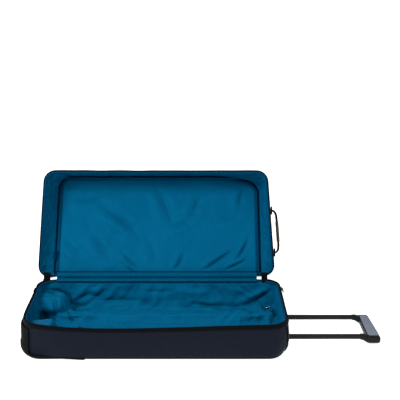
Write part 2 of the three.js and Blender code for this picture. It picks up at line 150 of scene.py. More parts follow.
fabricLooks = {
    # base and worn colours, gloss, thread pitch in metres, crinkle height in metres, and for some the amount of
    # painted crease shade
    "grooveTape": {"base": (0.0003, 0.012, 0.040), "worn": (0.0004, 0.018, 0.055), "rough": 0.65,
                   "specular": 0.08, "sheen": 0.02, "sheenTint": (0.10, 0.45, 0.80), "pitch": 0.0009,
                   "threadHigh": 0.00012, "crinkle": 0.0003, "crinkleSize": 50.0},
    "outer_nylon": {"base": (0.0048, 0.0066, 0.0125), "worn": (0.0074, 0.0098, 0.0172), "rough": 0.60,
                    "specular": 0.09, "sheen": 0.05, "sheenTint": (0.35, 0.42, 0.60), "pitch": 0.0011,
                    "threadHigh": 0.00012, "crinkle": 0.0030, "crinkleSize": 26.0},
    "lining": {"base": (0.0003, 0.084, 0.182), "worn": (0.0004, 0.108, 0.228), "rough": 0.42,
               "specular": 0.10, "sheen": 0.0, "sheenTint": (0.02, 0.50, 0.80), "pitch": 0.0006,
               "threadHigh": 0.00004, "crinkle": 0.0034, "crinkleSize": 24.0, "paintedCreaseShade": 0.48},
    # the lining a little lighter and with less painted crease shade, as painted light on the gusset's shaded top
    "litGussetLining": {"base": (0.0003, 0.086, 0.186), "worn": (0.0004, 0.112, 0.236), "rough": 0.42,
                    "specular": 0.10, "sheen": 0.0, "sheenTint": (0.02, 0.50, 0.80), "pitch": 0.0006,
                    "threadHigh": 0.00004, "crinkle": 0.0060, "crinkleSize": 42.0, "paintedCreaseShade": 0.22},
    # the lining's colour painted darker for the hinge strip, as painted shade in its creases
    "shadedHingeLining": {"base": (0.0003, 0.056, 0.128), "worn": (0.0004, 0.078, 0.170), "rough": 0.45,
                   "specular": 0.10, "sheen": 0.0, "sheenTint": (0.02, 0.50, 0.80), "pitch": 0.0006,
                   "threadHigh": 0.00004, "crinkle": 0.0030, "crinkleSize": 60.0, "paintedCreaseShade": 0.40},
    "black_tape": {"base": (0.0022, 0.0024, 0.0036), "worn": (0.0042, 0.0044, 0.0060), "rough": 0.72,
                   "specular": 0.07, "sheen": 0.02, "sheenTint": (0.5, 0.5, 0.55), "pitch": 0.0009,
                   "threadHigh": 0.00014, "crinkle": 0.0003, "crinkleSize": 60.0},
    "webbing": {"base": (0.0032, 0.0034, 0.0046), "worn": (0.0064, 0.0066, 0.0084), "rough": 0.70,
                "specular": 0.10, "sheen": 0.03, "sheenTint": (0.5, 0.5, 0.55), "pitch": 0.0016,
                "threadHigh": 0.00030, "crinkle": 0.0002, "crinkleSize": 60.0},
    "binding": {"base": (0.0024, 0.0024, 0.0032), "worn": (0.0044, 0.0043, 0.0052), "rough": 0.70,
                "specular": 0.08, "sheen": 0.02, "sheenTint": (0.5, 0.5, 0.5), "pitch": 0.0010,
                "threadHigh": 0.00014, "crinkle": 0.0003, "crinkleSize": 60.0},
    "panelTape": {"base": (0.0003, 0.040, 0.098), "worn": (0.0004, 0.052, 0.124), "rough": 0.58,
                  "specular": 0.12, "sheen": 0.05, "sheenTint": (0.10, 0.45, 0.80), "pitch": 0.0009,
                  "threadHigh": 0.00012, "crinkle": 0.0004, "crinkleSize": 50.0},
}

solidLooks = {
    # base and edge colours, gloss, metal, grain height in metres and grain count per metre
    "guard": {"base": (0.0040, 0.0046, 0.0043), "edge": (0.0075, 0.0082, 0.0078), "rough": 0.68,
              "specular": 0.03, "metal": 0.0, "grain": 0.00012, "grainSize": 900.0},
    "rod_metal": {"base": (0.0035, 0.0040, 0.0044), "edge": (0.010, 0.011, 0.012), "rough": 0.36,
                  "specular": 0.16, "metal": 0.0, "grain": 0.00002, "grainSize": 1400.0},
    "handle_plastic": {"base": (0.0042, 0.0046, 0.0052), "edge": (0.010, 0.011, 0.012), "rough": 0.45,
                       "specular": 0.14, "metal": 0.0, "grain": 0.00005, "grainSize": 1200.0},
    "soft_grip": {"base": (0.150, 0.178, 0.225), "edge": (0.230, 0.260, 0.310), "rough": 0.60,
                  "specular": 0.25, "metal": 0.0, "grain": 0.00010, "grainSize": 1100.0},
    "tread": {"base": (0.0060, 0.0062, 0.0066), "edge": (0.016, 0.016, 0.017), "rough": 0.68,
              "specular": 0.25, "metal": 0.0, "grain": 0.00012, "grainSize": 800.0},
    "hub": {"base": (0.040, 0.043, 0.048), "edge": (0.080, 0.084, 0.090), "rough": 0.48,
            "specular": 0.35, "metal": 0.0, "grain": 0.00005, "grainSize": 1000.0},
    "steel": {"base": (0.33, 0.34, 0.36), "edge": (0.52, 0.53, 0.55), "rough": 0.30,
              "specular": 0.50, "metal": 1.0, "grain": 0.00003, "grainSize": 1500.0},
    "board": {"base": (0.017, 0.019, 0.022), "edge": (0.030, 0.032, 0.036), "rough": 0.55,
              "specular": 0.30, "metal": 0.0, "grain": 0.00008, "grainSize": 700.0},
    "wrap": {"base": (0.090, 0.068, 0.052), "edge": (0.150, 0.120, 0.098), "rough": 0.58,
             "specular": 0.25, "metal": 0.0, "grain": 0.00030, "grainSize": 420.0},
    "zip_metal": {"base": (0.030, 0.032, 0.036), "edge": (0.110, 0.112, 0.120), "rough": 0.32,
                  "specular": 0.50, "metal": 0.85, "grain": 0.00002, "grainSize": 1500.0},
    "tagMetal": {"base": (0.42, 0.44, 0.47), "edge": (0.70, 0.72, 0.75), "rough": 0.28,
                 "specular": 0.50, "metal": 0.9, "grain": 0.00002, "grainSize": 1500.0},
}


def mathStep(tree, operation, first, second=None):
    step = addNode(tree, "Math", {"operation": operation})
    for index, value in enumerate((first, second)):
        if value is None:
            continue
        if isinstance(value, (int, float)):
            step.inputs[index].default_value = value
        else:
            tree.links.new(value, step.inputs[index])
    return step.outputs[0]


def threadWave(tree, coordinates, direction, pitch):
    along = addNode(tree, "VectorMath", {"operation": "DOT_PRODUCT"})
    along.inputs[1].default_value = direction
    tree.links.new(coordinates, along.inputs[0])
    angle = mathStep(tree, "MULTIPLY", along.outputs["Value"], 2 * math.pi / pitch)
    return mathStep(tree, "SINE", angle)


def colourBetween(tree, amount, first, second, shader, paintedCreaseShade=0.0):
    # this sets how much painted shade ambient occlusion lays on the base colour in the creases
    mix = addNode(tree, "Mix", {"data_type": "RGBA"})
    mix.inputs[6].default_value = (*first, 1)
    mix.inputs[7].default_value = (*second, 1)
    tree.links.new(amount, mix.inputs[0])
    if not paintedCreaseShade:
        tree.links.new(mix.outputs[2], shader.inputs["Base Color"])
        return
    # painted shade: ambient occlusion darkens the base colour in creases and recesses
    crease = addNode(tree, "AmbientOcclusion", {"samples": 6}, {"Distance": 0.045})
    spread = {"From Min": 0.25, "From Max": 0.85, "To Min": 1 - paintedCreaseShade, "To Max": 1.0}
    depth = addNode(tree, "MapRange", inputs=spread)
    tree.links.new(crease.outputs["AO"], depth.inputs["Value"])
    creaseShadedColour = addNode(tree, "VectorMath", {"operation": "SCALE"})
    tree.links.new(mix.outputs[2], creaseShadedColour.inputs[0])
    tree.links.new(depth.outputs["Result"], creaseShadedColour.inputs["Scale"])
    tree.links.new(creaseShadedColour.outputs[0], shader.inputs["Base Color"])


def heightBump(tree, height, distance, before=None):
    bump = addNode(tree, "Bump", inputs={"Strength": 1.0, "Distance": distance})
    tree.links.new(height, bump.inputs["Height"])
    if before is not None:
        tree.links.new(before.outputs["Normal"], bump.inputs["Normal"])
    return bump


def fabricFinish(name, look):
    material = bpy.data.materials.new(name)
    material.use_nodes = True
    tree = material.node_tree
    shader = tree.nodes["Principled BSDF"]
    place = addNode(tree, "TexCoord").outputs["Object"]
    warp = threadWave(tree, place, (1.0, 1.0, 0.0), look["pitch"])
    weft = threadWave(tree, place, (-0.3, 0.5, 1.0), look["pitch"])
    weave = mathStep(tree, "MULTIPLY", warp, weft)
    patches = addNode(tree, "TexNoise", inputs={"Scale": 7.0, "Detail": 5.0, "Roughness": 0.6})
    folds = addNode(tree, "TexNoise", inputs={"Scale": look["crinkleSize"], "Detail": 4.0, "Distortion": 0.8})
    for texture in (patches, folds):
        tree.links.new(place, texture.inputs["Vector"])
    worn = mathStep(tree, "ADD", patches.outputs["Fac"], mathStep(tree, "MULTIPLY", weave, 0.12))
    colourBetween(tree, worn, look["base"], look["worn"], shader, look.get("paintedCreaseShade", 0.0))
    crinkle = heightBump(tree, folds.outputs["Fac"], look["crinkle"])
    threads = heightBump(tree, weave, look["threadHigh"], crinkle)
    tree.links.new(threads.outputs["Normal"], shader.inputs["Normal"])
    gloss = addNode(tree, "MapRange", inputs={"To Min": look["rough"] - 0.06, "To Max": look["rough"] + 0.08})
    tree.links.new(patches.outputs["Fac"], gloss.inputs["Value"])
    tree.links.new(gloss.outputs["Result"], shader.inputs["Roughness"])
    shader.inputs["Specular IOR Level"].default_value = look["specular"]
    shader.inputs["Specular Tint"].default_value = (*look["sheenTint"], 1)
    shader.inputs["Sheen Weight"].default_value = look["sheen"]
    shader.inputs["Sheen Roughness"].default_value = 0.4
    shader.inputs["Sheen Tint"].default_value = (*look["sheenTint"], 1)
    return material


def solidFinish(name, look):
    material = bpy.data.materials.new(name)
    material.use_nodes = True
    tree = material.node_tree
    shader = tree.nodes["Principled BSDF"]
    place = addNode(tree, "TexCoord").outputs["Object"]
    edges = addNode(tree, "NewGeometry").outputs["Pointiness"]
    scuffs = addNode(tree, "TexNoise", inputs={"Scale": 45.0, "Detail": 8.0, "Roughness": 0.7})
    grain = addNode(tree, "TexNoise", inputs={"Scale": look["grainSize"], "Detail": 2.0})
    for texture in (scuffs, grain):
        tree.links.new(place, texture.inputs["Vector"])
    edgeAmount = addNode(tree, "MapRange", inputs={"From Min": 0.52, "From Max": 0.62})
    tree.links.new(edges, edgeAmount.inputs["Value"])
    scuffAmount = addNode(tree, "MapRange", inputs={"From Min": 0.45, "From Max": 0.75, "To Max": 0.35})
    tree.links.new(scuffs.outputs["Fac"], scuffAmount.inputs["Value"])
    wear = mathStep(tree, "ADD", edgeAmount.outputs["Result"], scuffAmount.outputs["Result"])
    colourBetween(tree, wear, look["base"], look["edge"], shader)
    bump = heightBump(tree, grain.outputs["Fac"], look["grain"])
    tree.links.new(bump.outputs["Normal"], shader.inputs["Normal"])
    gloss = addNode(tree, "MapRange", inputs={"To Min": look["rough"] - 0.08, "To Max": look["rough"] + 0.10})
    tree.links.new(scuffs.outputs["Fac"], gloss.inputs["Value"])
    tree.links.new(gloss.outputs["Result"], shader.inputs["Roughness"])
    shader.inputs["Metallic"].default_value = look["metal"]
    shader.inputs["Specular IOR Level"].default_value = look["specular"]
    return material


finishes = {name: fabricFinish(name, look) for name, look in fabricLooks.items()}
finishes.update({name: solidFinish(name, look) for name, look in solidLooks.items()})
print("finishes ready:", len(finishes))

# Mesh tools


def roundedLoop(halfX, low, high, radius, steps):
    # points and outward normals round a rounded rectangle, anticlockwise from its high right corner
    longSteps, shortSteps, cornerSteps = steps
    corners = [(1, 1), (-1, 1), (-1, -1), (1, -1)]
    middle = (low + high) / 2
    inX = halfX - radius
    inY = (high - low) / 2 - radius
    points = []
    normals = []
    for index, (signX, signY) in enumerate(corners):
        for step in range(cornerSteps):
            angle = math.pi / 2 * (index + step / cornerSteps)
            normals.append((math.cos(angle), math.sin(angle)))
            outX, outY = normals[-1]
            points.append((signX * inX + radius * outX, middle + signY * inY + radius * outY))
        angle = math.pi / 2 * (index + 1)
        turn = np.array((math.cos(angle), math.sin(angle)))
        nextX, nextY = corners[(index + 1) % 4]
        start = np.array((signX * inX, middle + signY * inY)) + radius * turn
        end = np.array((nextX * inX, middle + nextY * inY)) + radius * turn
        count = longSteps if index % 2 == 0 else shortSteps
        for step in range(count):
            points.append(tuple(start + (end - start) * step / count))
            normals.append(tuple(turn))
    return np.array(points), np.array(normals)


def loft(rings, closedRing=True, closedPath=False, caps=False):
    rings = np.asarray(rings)
    rows, count = rings.shape[:2]
    faces = []
    for row in range(rows if closedPath else rows - 1):
        below = (row + 1) % rows
        for column in range(count if closedRing else count - 1):
            beside = (column + 1) % count
            faces.append((row * count + column, row * count + beside,
                          below * count + beside, below * count + column))
    if caps:
        faces.append(tuple(range(count)))
        faces.append(tuple(range((rows - 1) * count, rows * count)))
    return rings.reshape(-1, 3), faces


def joinShapes(shapes):
    vertices = []
    faces = []
    start = 0
    for points, sides in shapes:
        vertices.append(np.asarray(points))
        faces.extend(tuple(index + start for index in face) for face in sides)
        start += len(points)
    return np.concatenate(vertices), faces


def unit(vectors):
    return vectors / np.maximum(np.linalg.norm(vectors, axis=-1, keepdims=True), 1e-12)


def pathFrames(path, ups, closed):
    if closed:
        tangents = np.roll(path, -1, axis=0) - np.roll(path, 1, axis=0)
    else:
        tangents = np.gradient(path, axis=0)
    tangents = unit(tangents)
    sides = unit(np.cross(tangents, ups))
    return tangents, sides, np.cross(sides, tangents)


def sweep(path, ups, section, closed=False, scales=None):
    # section is a list of (side, up) offsets; scales multiplies it along the path
    path = np.asarray(path, float)
    ups = np.broadcast_to(np.asarray(ups, float), path.shape)
    _, sides, tops = pathFrames(path, ups, closed)
    section = np.asarray(section)
    sizes = np.ones((len(path), 2)) if scales is None else np.asarray(scales)
    rings = (path[:, None, :] + sides[:, None, :] * (section[None, :, 0] * sizes[:, :1])[..., None]
             + tops[:, None, :] * (section[None, :, 1] * sizes[:, 1:])[..., None])
    return loft(rings, closedPath=closed, caps=not closed)


def circleSection(radius, count=10):
    angles = np.linspace(0, 2 * math.pi, count, endpoint=False)
    return np.stack([radius * np.cos(angles), radius * np.sin(angles)], axis=1)


def bandSection(width, thick, corner=0.35):
    points, _ = roundedLoop(width / 2, -thick / 2, thick / 2, thick * corner, (6, 1, 3))
    return points


def respace(path, pitch, closed, *others):
    # the path and its matching vectors at even distances
    path = np.asarray(path, float)
    if closed:
        path = np.concatenate([path, path[:1]])
    lengths = np.concatenate([[0], np.cumsum(np.linalg.norm(np.diff(path, axis=0), axis=1))])
    count = max(2, int(lengths[-1] / pitch))
    wanted = np.linspace(0, lengths[-1], count, endpoint=not closed)
    results = [np.stack([np.interp(wanted, lengths, path[:, axis]) for axis in range(3)], axis=1)]
    for other in others:
        other = np.broadcast_to(np.asarray(other, float), (len(lengths) - (1 if closed else 0), 3))
        if closed:
            other = np.concatenate([other, other[:1]])
        spaced = [np.interp(wanted, lengths, other[:, axis]) for axis in range(3)]
        results.append(unit(np.stack(spaced, axis=1)))
    return results


def beadsAlong(path, ups, pitch, size, closed=False):
    # small blocks in a row, used for zip teeth and stitches; size is along, across and high
    path, ups = respace(path, pitch, closed, ups)
    tangents, sides, tops = pathFrames(path, ups, closed)
    corners = [(-1, -1, -1), (1, -1, -1), (1, 1, -1), (-1, 1, -1),
               (-0.8, -0.7, 1), (0.8, -0.7, 1), (0.8, 0.7, 1), (-0.8, 0.7, 1)]
    blocks = []
    for a, b, c in corners:
        blocks.append(path + tangents * a * size[0] / 2 + sides * b * size[1] / 2 + tops * c * size[2] / 2)
    vertices = np.stack(blocks, axis=1).reshape(-1, 3)
    sidesOfBlock = [(0, 3, 2, 1), (4, 5, 6, 7), (0, 1, 5, 4), (1, 2, 6, 5), (2, 3, 7, 6), (3, 0, 4, 7)]
    faces = [tuple(8 * row + index for index in side) for row in range(len(path)) for side in sidesOfBlock]
    return vertices, faces


def waver(points, scale, seed=0.0):
    # smooth noise from -1 to 1 at each point
    shift = Vector((seed * 7.13, seed * 3.71, seed * 5.37))
    places = np.asarray(points).reshape(-1, 3)
    return np.array([noise.noise(Vector(point) * scale + shift) for point in places])


def makePiece(name, shape, finish, body=None, standsFor=(), thick=0.0, rounds=0, smooth=True):
    vertices, faces = shape
    mesh = bpy.data.meshes.new(name)
    mesh.from_pydata(np.asarray(vertices, float).tolist(), [], faces)
    cleaner = bmesh.new()
    cleaner.from_mesh(mesh)
    bmesh.ops.remove_doubles(cleaner, verts=cleaner.verts, dist=1e-5)
    bmesh.ops.dissolve_degenerate(cleaner, edges=cleaner.edges, dist=1e-6)
    bmesh.ops.recalc_face_normals(cleaner, faces=cleaner.faces)
    cleaner.to_mesh(mesh)
    cleaner.free()
    mesh.polygons.foreach_set("use_smooth", [smooth] * len(mesh.polygons))
    mesh.materials.append(finishes[finish])
    piece = bpy.data.objects.new(name, mesh)
    scene.collection.objects.link(piece)
    if thick:
        shell = piece.modifiers.new("clothThickness", "SOLIDIFY")
        shell.thickness = thick
        shell.offset = 0.0
    if rounds:
        subdivision = piece.modifiers.new("roundOff", "SUBSURF")
        subdivision.levels = rounds
        subdivision.render_levels = rounds
    if standsFor:
        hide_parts(*standsFor)
    if body:
        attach(piece, body)
    return piece


def foldProfile(vertices, normals, folds, snap=False):
    # each fold is (start, middle, end, height, width): a crease along a curve, with a ridge beside it
    moved = np.zeros(len(vertices))
    steps = np.linspace(0, 1, 25)[:, None]
    for start, middle, end, height, width in folds:
        start, middle, end = (np.array(point) for point in (start, middle, end))
        curve = (1 - steps) ** 2 * start + 2 * steps * (1 - steps) * middle + steps ** 2 * end
        if snap:
            # lay the curve on the surface, then even it out
            curve = np.array([vertices[np.argmin(((vertices - point) ** 2).sum(axis=1))] for point in curve])
            for _ in range(4):
                curve[1:-1] = (curve[:-2] + curve[1:-1] + curve[2:]) / 3
        tangent = unit(np.gradient(curve, axis=0))
        reachOut = np.ptp(curve, axis=0).max() + 8 * width
        picked = np.flatnonzero(((vertices - curve.mean(axis=0)) ** 2).sum(axis=1) < reachOut ** 2)
        gaps = vertices[picked, None, :] - curve[None, :, :]
        nearest = np.argmin((gaps ** 2).sum(axis=2), axis=1)
        gap = gaps[np.arange(len(picked)), nearest]
        side = unit(np.cross(normals[picked], tangent[nearest]))
        across = (gap * side).sum(axis=1)
        beyond = (gap * tangent[nearest]).sum(axis=1)
        off = (gap * normals[picked]).sum(axis=1)
        reach = np.sin(math.pi * np.clip(nearest / 24, 0.03, 0.97)) ** 0.7
        fade = np.exp(-(beyond / (2 * width)) ** 2) * np.exp(-(off / (4 * width)) ** 2)
        crease = np.exp(-np.abs(across) / (0.9 * width))
        ridge = 0.75 * np.exp(-((across + 2.3 * width) / (1.5 * width)) ** 2)
        swell = 0.25 * np.exp(-((across - 2.3 * width) / (1.7 * width)) ** 2)
        moved[picked] += height * reach * fade * (ridge + swell - crease)
    return moved


def refine(piece, levels):
    # subdivides the piece's mesh for good
    subdivision = piece.modifiers.new("finer", "SUBSURF")
    subdivision.levels = levels
    evaluated = piece.evaluated_get(bpy.context.evaluated_depsgraph_get())
    finer = bpy.data.meshes.new_from_object(evaluated)
    old = piece.data
    piece.modifiers.remove(subdivision)
    piece.data = finer
    bpy.data.meshes.remove(old)


def cutAway(piece, boxes):
    # cuts boxes, given as (low, high) corners, out of the piece for good
    for index, (low, high) in enumerate(boxes):
        corners, sides = boxShape(low, high)
        mesh = bpy.data.meshes.new(f"cut{index}")
        mesh.from_pydata(corners, [], sides)
        cleaner = bmesh.new()
        cleaner.from_mesh(mesh)
        bmesh.ops.recalc_face_normals(cleaner, faces=cleaner.faces)
        cleaner.to_mesh(mesh)
        cleaner.free()
        cutter = bpy.data.objects.new(f"cut{index}", mesh)
        scene.collection.objects.link(cutter)
        modifier = piece.modifiers.new("cut", "BOOLEAN")
        modifier.object = cutter
        modifier.operation = "DIFFERENCE"
        modifier.solver = "EXACT"
        evaluated = piece.evaluated_get(bpy.context.evaluated_depsgraph_get())
        finished = bpy.data.meshes.new_from_object(evaluated)
        old = piece.data
        piece.modifiers.remove(modifier)
        piece.data = finished
        bpy.data.meshes.remove(old)
        bpy.data.objects.remove(cutter)


def softenEdges(piece, width, segments=2, angle=40):
    bevel = piece.modifiers.new("softEdges", "BEVEL")
    bevel.width = width
    bevel.segments = segments
    bevel.limit_method = "ANGLE"
    bevel.angle_limit = math.radians(angle)
    bevel.harden_normals = True


def boxShape(low, high):
    corners = [(x, y, z) for x in (low[0], high[0]) for y in (low[1], high[1]) for z in (low[2], high[2])]
    return corners, [(0, 1, 3, 2), (4, 6, 7, 5), (0, 4, 5, 1), (2, 3, 7, 6), (0, 2, 6, 4), (1, 5, 7, 3)]


def shiftVertices(piece, change):
    # change takes vertex places and normals and gives the new places
    mesh = piece.data
    count = len(mesh.vertices)
    places = np.zeros(count * 3)
    mesh.vertices.foreach_get("co", places)
    normals = np.zeros(count * 3)
    mesh.vertex_normals.foreach_get("vector", normals)
    moved = change(places.reshape(-1, 3), normals.reshape(-1, 3))
    mesh.vertices.foreach_set("co", moved.ravel())
    mesh.update()


# Tray shell, piping, zip tape and hem

trayLow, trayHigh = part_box("tray_shell")
traySet = {
    "corner": 0.055,
    "endRound": 0.045,
    "wheelRound": 0.027,
    "sideRound": 0.012,
    "wall": 0.0035,
    "bulge": 0.0060,
    "belly": 0.0018,          # the soft bottom edge hangs between the rails
    "sagDepth": 0.014,        # the front rim hangs lowest left of its middle
    "sagAt": -0.12,
    "sagLeft": 0.22,
    "sagRight": 0.33,
    "cornerLift": 0.006,      # the wheel end stands a little higher
    "skew": 0.028,
    "steps": (84, 30, 12),
    "tapeHigh": 0.006,
    "bindingHigh": 0.007,
}
trayLoop, trayNormals = roundedLoop(
    trayHigh.x, trayLow.y, trayHigh.y, traySet["corner"], traySet["steps"])
trayHeight = trayHigh.z - trayLow.z


def trayPoints(loop, normals, inset, height, bulge=1.0):
    # the soft tray's surface at an inset from its outline and at a height, both one value per point
    inset = np.broadcast_to(np.asarray(inset, float), (len(loop),))
    height = np.broadcast_to(np.asarray(height, float), (len(loop),))
    share = np.clip((height - trayLow.z) / trayHeight, 0, 1)
    x = loop[:, 0] - normals[:, 0] * inset
    y = loop[:, 1] - normals[:, 1] * inset
    free = smoothStep((x + 0.34) / 0.06)        # the end guard holds the wheel end in shape
    out = traySet["bulge"] * np.sin(math.pi * share ** 0.6) ** 0.8 * free * bulge
    ripple = waver(np.stack([x, y, height], axis=1), 9.0, 1.0) * 0.0022
    ripple = ripple * free * np.sin(math.pi * share) * bulge
    x = x + normals[:, 0] * (out + ripple)
    y = y + normals[:, 1] * (out + ripple)
    spread = np.where(x < traySet["sagAt"], traySet["sagLeft"], traySet["sagRight"])
    frontOnly = smoothStep((-y - 0.09) / 0.07)
    sag = traySet["sagDepth"] * np.exp(-((x - traySet["sagAt"]) / spread) ** 2) * frontOnly
    wheelEnd = smoothStep((-x - 0.24) / 0.13)
    lift = traySet["cornerLift"] * wheelEnd * smoothStep((0.10 - y) / 0.2)
    high = share ** 2
    x = x - traySet["skew"] * y * wheelEnd * high
    belly = traySet["belly"] * (1 - share) ** 4
    return np.stack([x, y, height + (lift - sag) * high - belly], axis=1)


def trayRound(normals):
    # the bottom edge is rounder at the ends than along the sides
    weight = normals[:, 0] ** 2
    end = np.where(normals[:, 0] < 0, traySet["wheelRound"], traySet["endRound"])
    return traySet["sideRound"] * (1 - weight) + end * weight


def trayOuterRows(inset, floorGap):
    radius = trayRound(trayNormals)
    rows = []
    for share in np.linspace(1, 0, 15):
        low = trayLow.z + radius
        rows.append(trayPoints(trayLoop, trayNormals, inset, low + (trayHigh.z - 0.001 - low) * share))
    for turn in np.linspace(0, math.pi / 2, 9)[1:]:
        rowInset = inset + radius * (1 - math.cos(turn)) * (1 - inset / 0.05)
        rowHeight = trayLow.z + floorGap * math.sin(turn) + radius * (1 - math.sin(turn))
        rows.append(trayPoints(trayLoop, trayNormals, rowInset, rowHeight))
    edge = rows[-1]
    spine = np.clip(edge[:, 0], -0.2, 0.2)
    for share in np.linspace(0, 1, 9)[1:]:
        row = edge.copy()
        row[:, 0] += (spine - edge[:, 0]) * share
        row[:, 1] *= 1 - share
        rows.append(row)
    return rows


def makeTrayShell():
    outer = trayOuterRows(0.0, 0.0)
    inner = trayOuterRows(traySet["wall"], traySet["wall"])
    rows = outer[::-1] + inner
    shell = makePiece("trayShell", loft(rows), "outer_nylon", "tray", ["tray_shell"])
    cutAway(shell, wheelOpenings(0.0004) + socketOpenings(0.0004))
    shell.data.polygons.foreach_set("use_smooth", [True] * len(shell.data.polygons))
    softenEdges(shell, 0.0008)


def wheelOpenings(room):
    boxes = []
    for side in ("front", "rear"):
        low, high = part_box("wheel_housing_" + side)
        boxes.append(((-0.43, low.y - room, -0.03), (high.x + room, high.y + room, high.z + room)))
    return boxes


def socketOpenings(room):
    boxes = []
    for side in ("front", "rear"):
        low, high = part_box("tube_socket_" + side)
        boxes.append(((low.x - room, low.y - room, low.z - room), (0.42, high.y + room, high.z + room)))
    return boxes


def openRun(places, leftOut):
    # indices round a closed loop that leave out one stretch, in order
    kept = ~leftOut(places)
    first = int(np.flatnonzero(kept & ~np.roll(kept, 1))[0])
    order = (np.arange(len(places)) + first) % len(places)
    return order[kept[order]]


def trayHinge(places):
    return (places[:, 1] > trayHigh.y - 0.012) & (np.abs(places[:, 0]) < 0.345)


def trayRim(inset, height):
    return trayPoints(trayLoop, trayNormals, inset, height)


def makeTrayRim():
    rim = trayHigh.z
    tapeLow = rim - traySet["tapeHigh"]
    bindingLow = tapeLow - traySet["bindingHigh"]
    run = openRun(trayRim(0.0, rim), trayHinge)
    # zip tape: up the outside, over the top and down the inside
    profile = [(0.0004, tapeLow - 0.0005), (-0.0012, tapeLow), (-0.0016, rim - 0.004), (-0.0012, rim - 0.001),
               (0.0, rim + 0.0005), (0.0014, rim + 0.0005), (0.0026, rim - 0.001), (0.0034, rim - 0.005),
               (0.0036, rim - 0.010), (0.0022, rim - 0.010)]
    rows = np.stack([trayRim(inset, height)[run] for inset, height in profile], axis=1)
    makePiece("trayZipTape", loft(rows, caps=True), "black_tape", "tray", ["tray_zip_tape"])
    profile = [(0.0006, bindingLow - 0.0006), (-0.0014, bindingLow), (-0.0022, bindingLow + 0.002),
               (-0.0022, tapeLow - 0.0015), (-0.0016, tapeLow), (0.0006, tapeLow + 0.0006)]
    rows = [trayRim(inset, height) for inset, height in profile]
    makePiece("trayBinding", loft(rows, closedPath=True), "binding", "tray")
    outwards = np.concatenate([trayNormals, np.zeros((len(trayNormals), 1))], axis=1)
    teeth = beadsAlong(trayRim(0.0004, rim + 0.0010)[run], (0, 0, 1), 0.0032, (0.0019, 0.0032, 0.0014))
    makePiece("trayTeeth", teeth, "black_tape", "tray", smooth=False)
    seamLine = trayRim(-0.0023, bindingLow + 0.0018)
    seam = beadsAlong(seamLine, outwards, 0.0044, (0.0030, 0.0005, 0.0005), closed=True)
    makePiece("trayStitches", seam, "webbing", "tray")
    hem = sweep(trayRim(0.0066, rim - 0.0058), (0, 0, 1), circleSection(0.0030, 10), closed=True)
    makePiece("trayHem", hem, "panelTape", "tray", ["tray_rim_wire"])


def makeTrayPiping():
    # piping down the two handle-end corners, and along the bottom edge
    shapes = []
    radius = trayRound(trayNormals)
    cornerSteps = traySet["steps"][2]
    total = len(trayLoop)
    for column in (cornerSteps // 3, total - traySet["steps"][1] - cornerSteps // 3):
        one = slice(column, column + 1)
        path = []
        for height in np.linspace(trayHigh.z - 0.018, trayLow.z + float(radius[column]), 18):
            path.append(trayPoints(trayLoop[one], trayNormals[one], -0.0012, height)[0])
        for turn in np.linspace(0, math.pi / 2 * 0.8, 8)[1:]:
            inset = float(radius[column]) * (1 - math.cos(turn)) - 0.0012
            height = trayLow.z + float(radius[column]) * (1 - math.sin(turn))
            path.append(trayPoints(trayLoop[one], trayNormals[one], inset, height)[0])
        outward = (*trayNormals[column], 0.3)
        shapes.append(sweep(path, outward, circleSection(0.0021, 8)))
    turn = math.pi / 4
    lowInset = radius * (1 - math.cos(turn)) - 0.001
    lowHeight = trayLow.z + radius * (1 - math.sin(turn))
    ring = trayPoints(trayLoop, trayNormals, lowInset, lowHeight)
    first = int(np.argmin(np.abs(ring[:, 0] + 0.2) + (ring[:, 1] > 0)))
    last = int(np.argmin(np.abs(ring[:, 0] + 0.2) + (ring[:, 1] < 0)))
    around = np.concatenate([ring[first:], ring[:last + 1]])
    ups = np.concatenate([trayNormals[first:], trayNormals[:last + 1]])
    ups = np.concatenate([ups, -0.8 * np.ones((len(ups), 1))], axis=1)
    shapes.append(sweep(around, ups, circleSection(0.0019, 8)))
    makePiece("trayPiping", joinShapes(shapes), "black_tape", "tray")


guardSet = {
    "top": 0.090,
    "thick": 0.0024,
    "sideOut": 0.0016,
    "out": 0.0036,
    "bulge": 0.0028,          # the lower half stands out further
    "lipColumns": (101, 145),
    "footColumns": 21,
    "footHigh": (0.016, 0.006),
    "under": 0.045,
    "bead": 0.0020,
}


def guardPoints(columns, height, inset=0.0):
    facingEnd = trayNormals[columns][:, 0] ** 2
    tip = smoothStep((trayLoop[columns][:, 0] + 0.345) / 0.10)
    out = guardSet["sideOut"] * (1 - 0.75 * tip) + facingEnd * (
        guardSet["out"] + guardSet["bulge"] * smoothStep((0.050 - np.asarray(height)) / 0.012))
    return trayPoints(trayLoop[columns], trayNormals[columns], inset - out, height, bulge=0.0)


def guardStrip(columns, tops):
    radius = trayRound(trayNormals[columns])
    low = trayLow.z + radius
    turnsAt = np.minimum(low, tops - 0.001)
    rows = [guardPoints(columns, tops + (turnsAt - tops) * share) for share in np.linspace(0, 1, 14)]
    start = np.arcsin(np.clip((low - turnsAt) / radius, 0, 0.95))
    for share in np.linspace(0, 1, 9)[1:]:
        turn = start + (math.pi / 2 - start) * share
        height = trayLow.z + 0.0015 + (radius - 0.0015) * (1 - np.sin(turn))
        rows.append(guardPoints(columns, height, radius * (1 - np.cos(turn))))
    last = rows[-1]
    for share in (0.35, 0.7, 1.0):
        row = last.copy()
        row[:, 0] += (np.maximum(last[:, 0], -0.335) - last[:, 0]) * share
        inwards = np.minimum(np.abs(last[:, 1]) * 0.4, guardSet["under"]) * share
        row[:, 1] -= np.sign(last[:, 1]) * inwards
        rows.append(row)
    return loft(rows, closedRing=False)


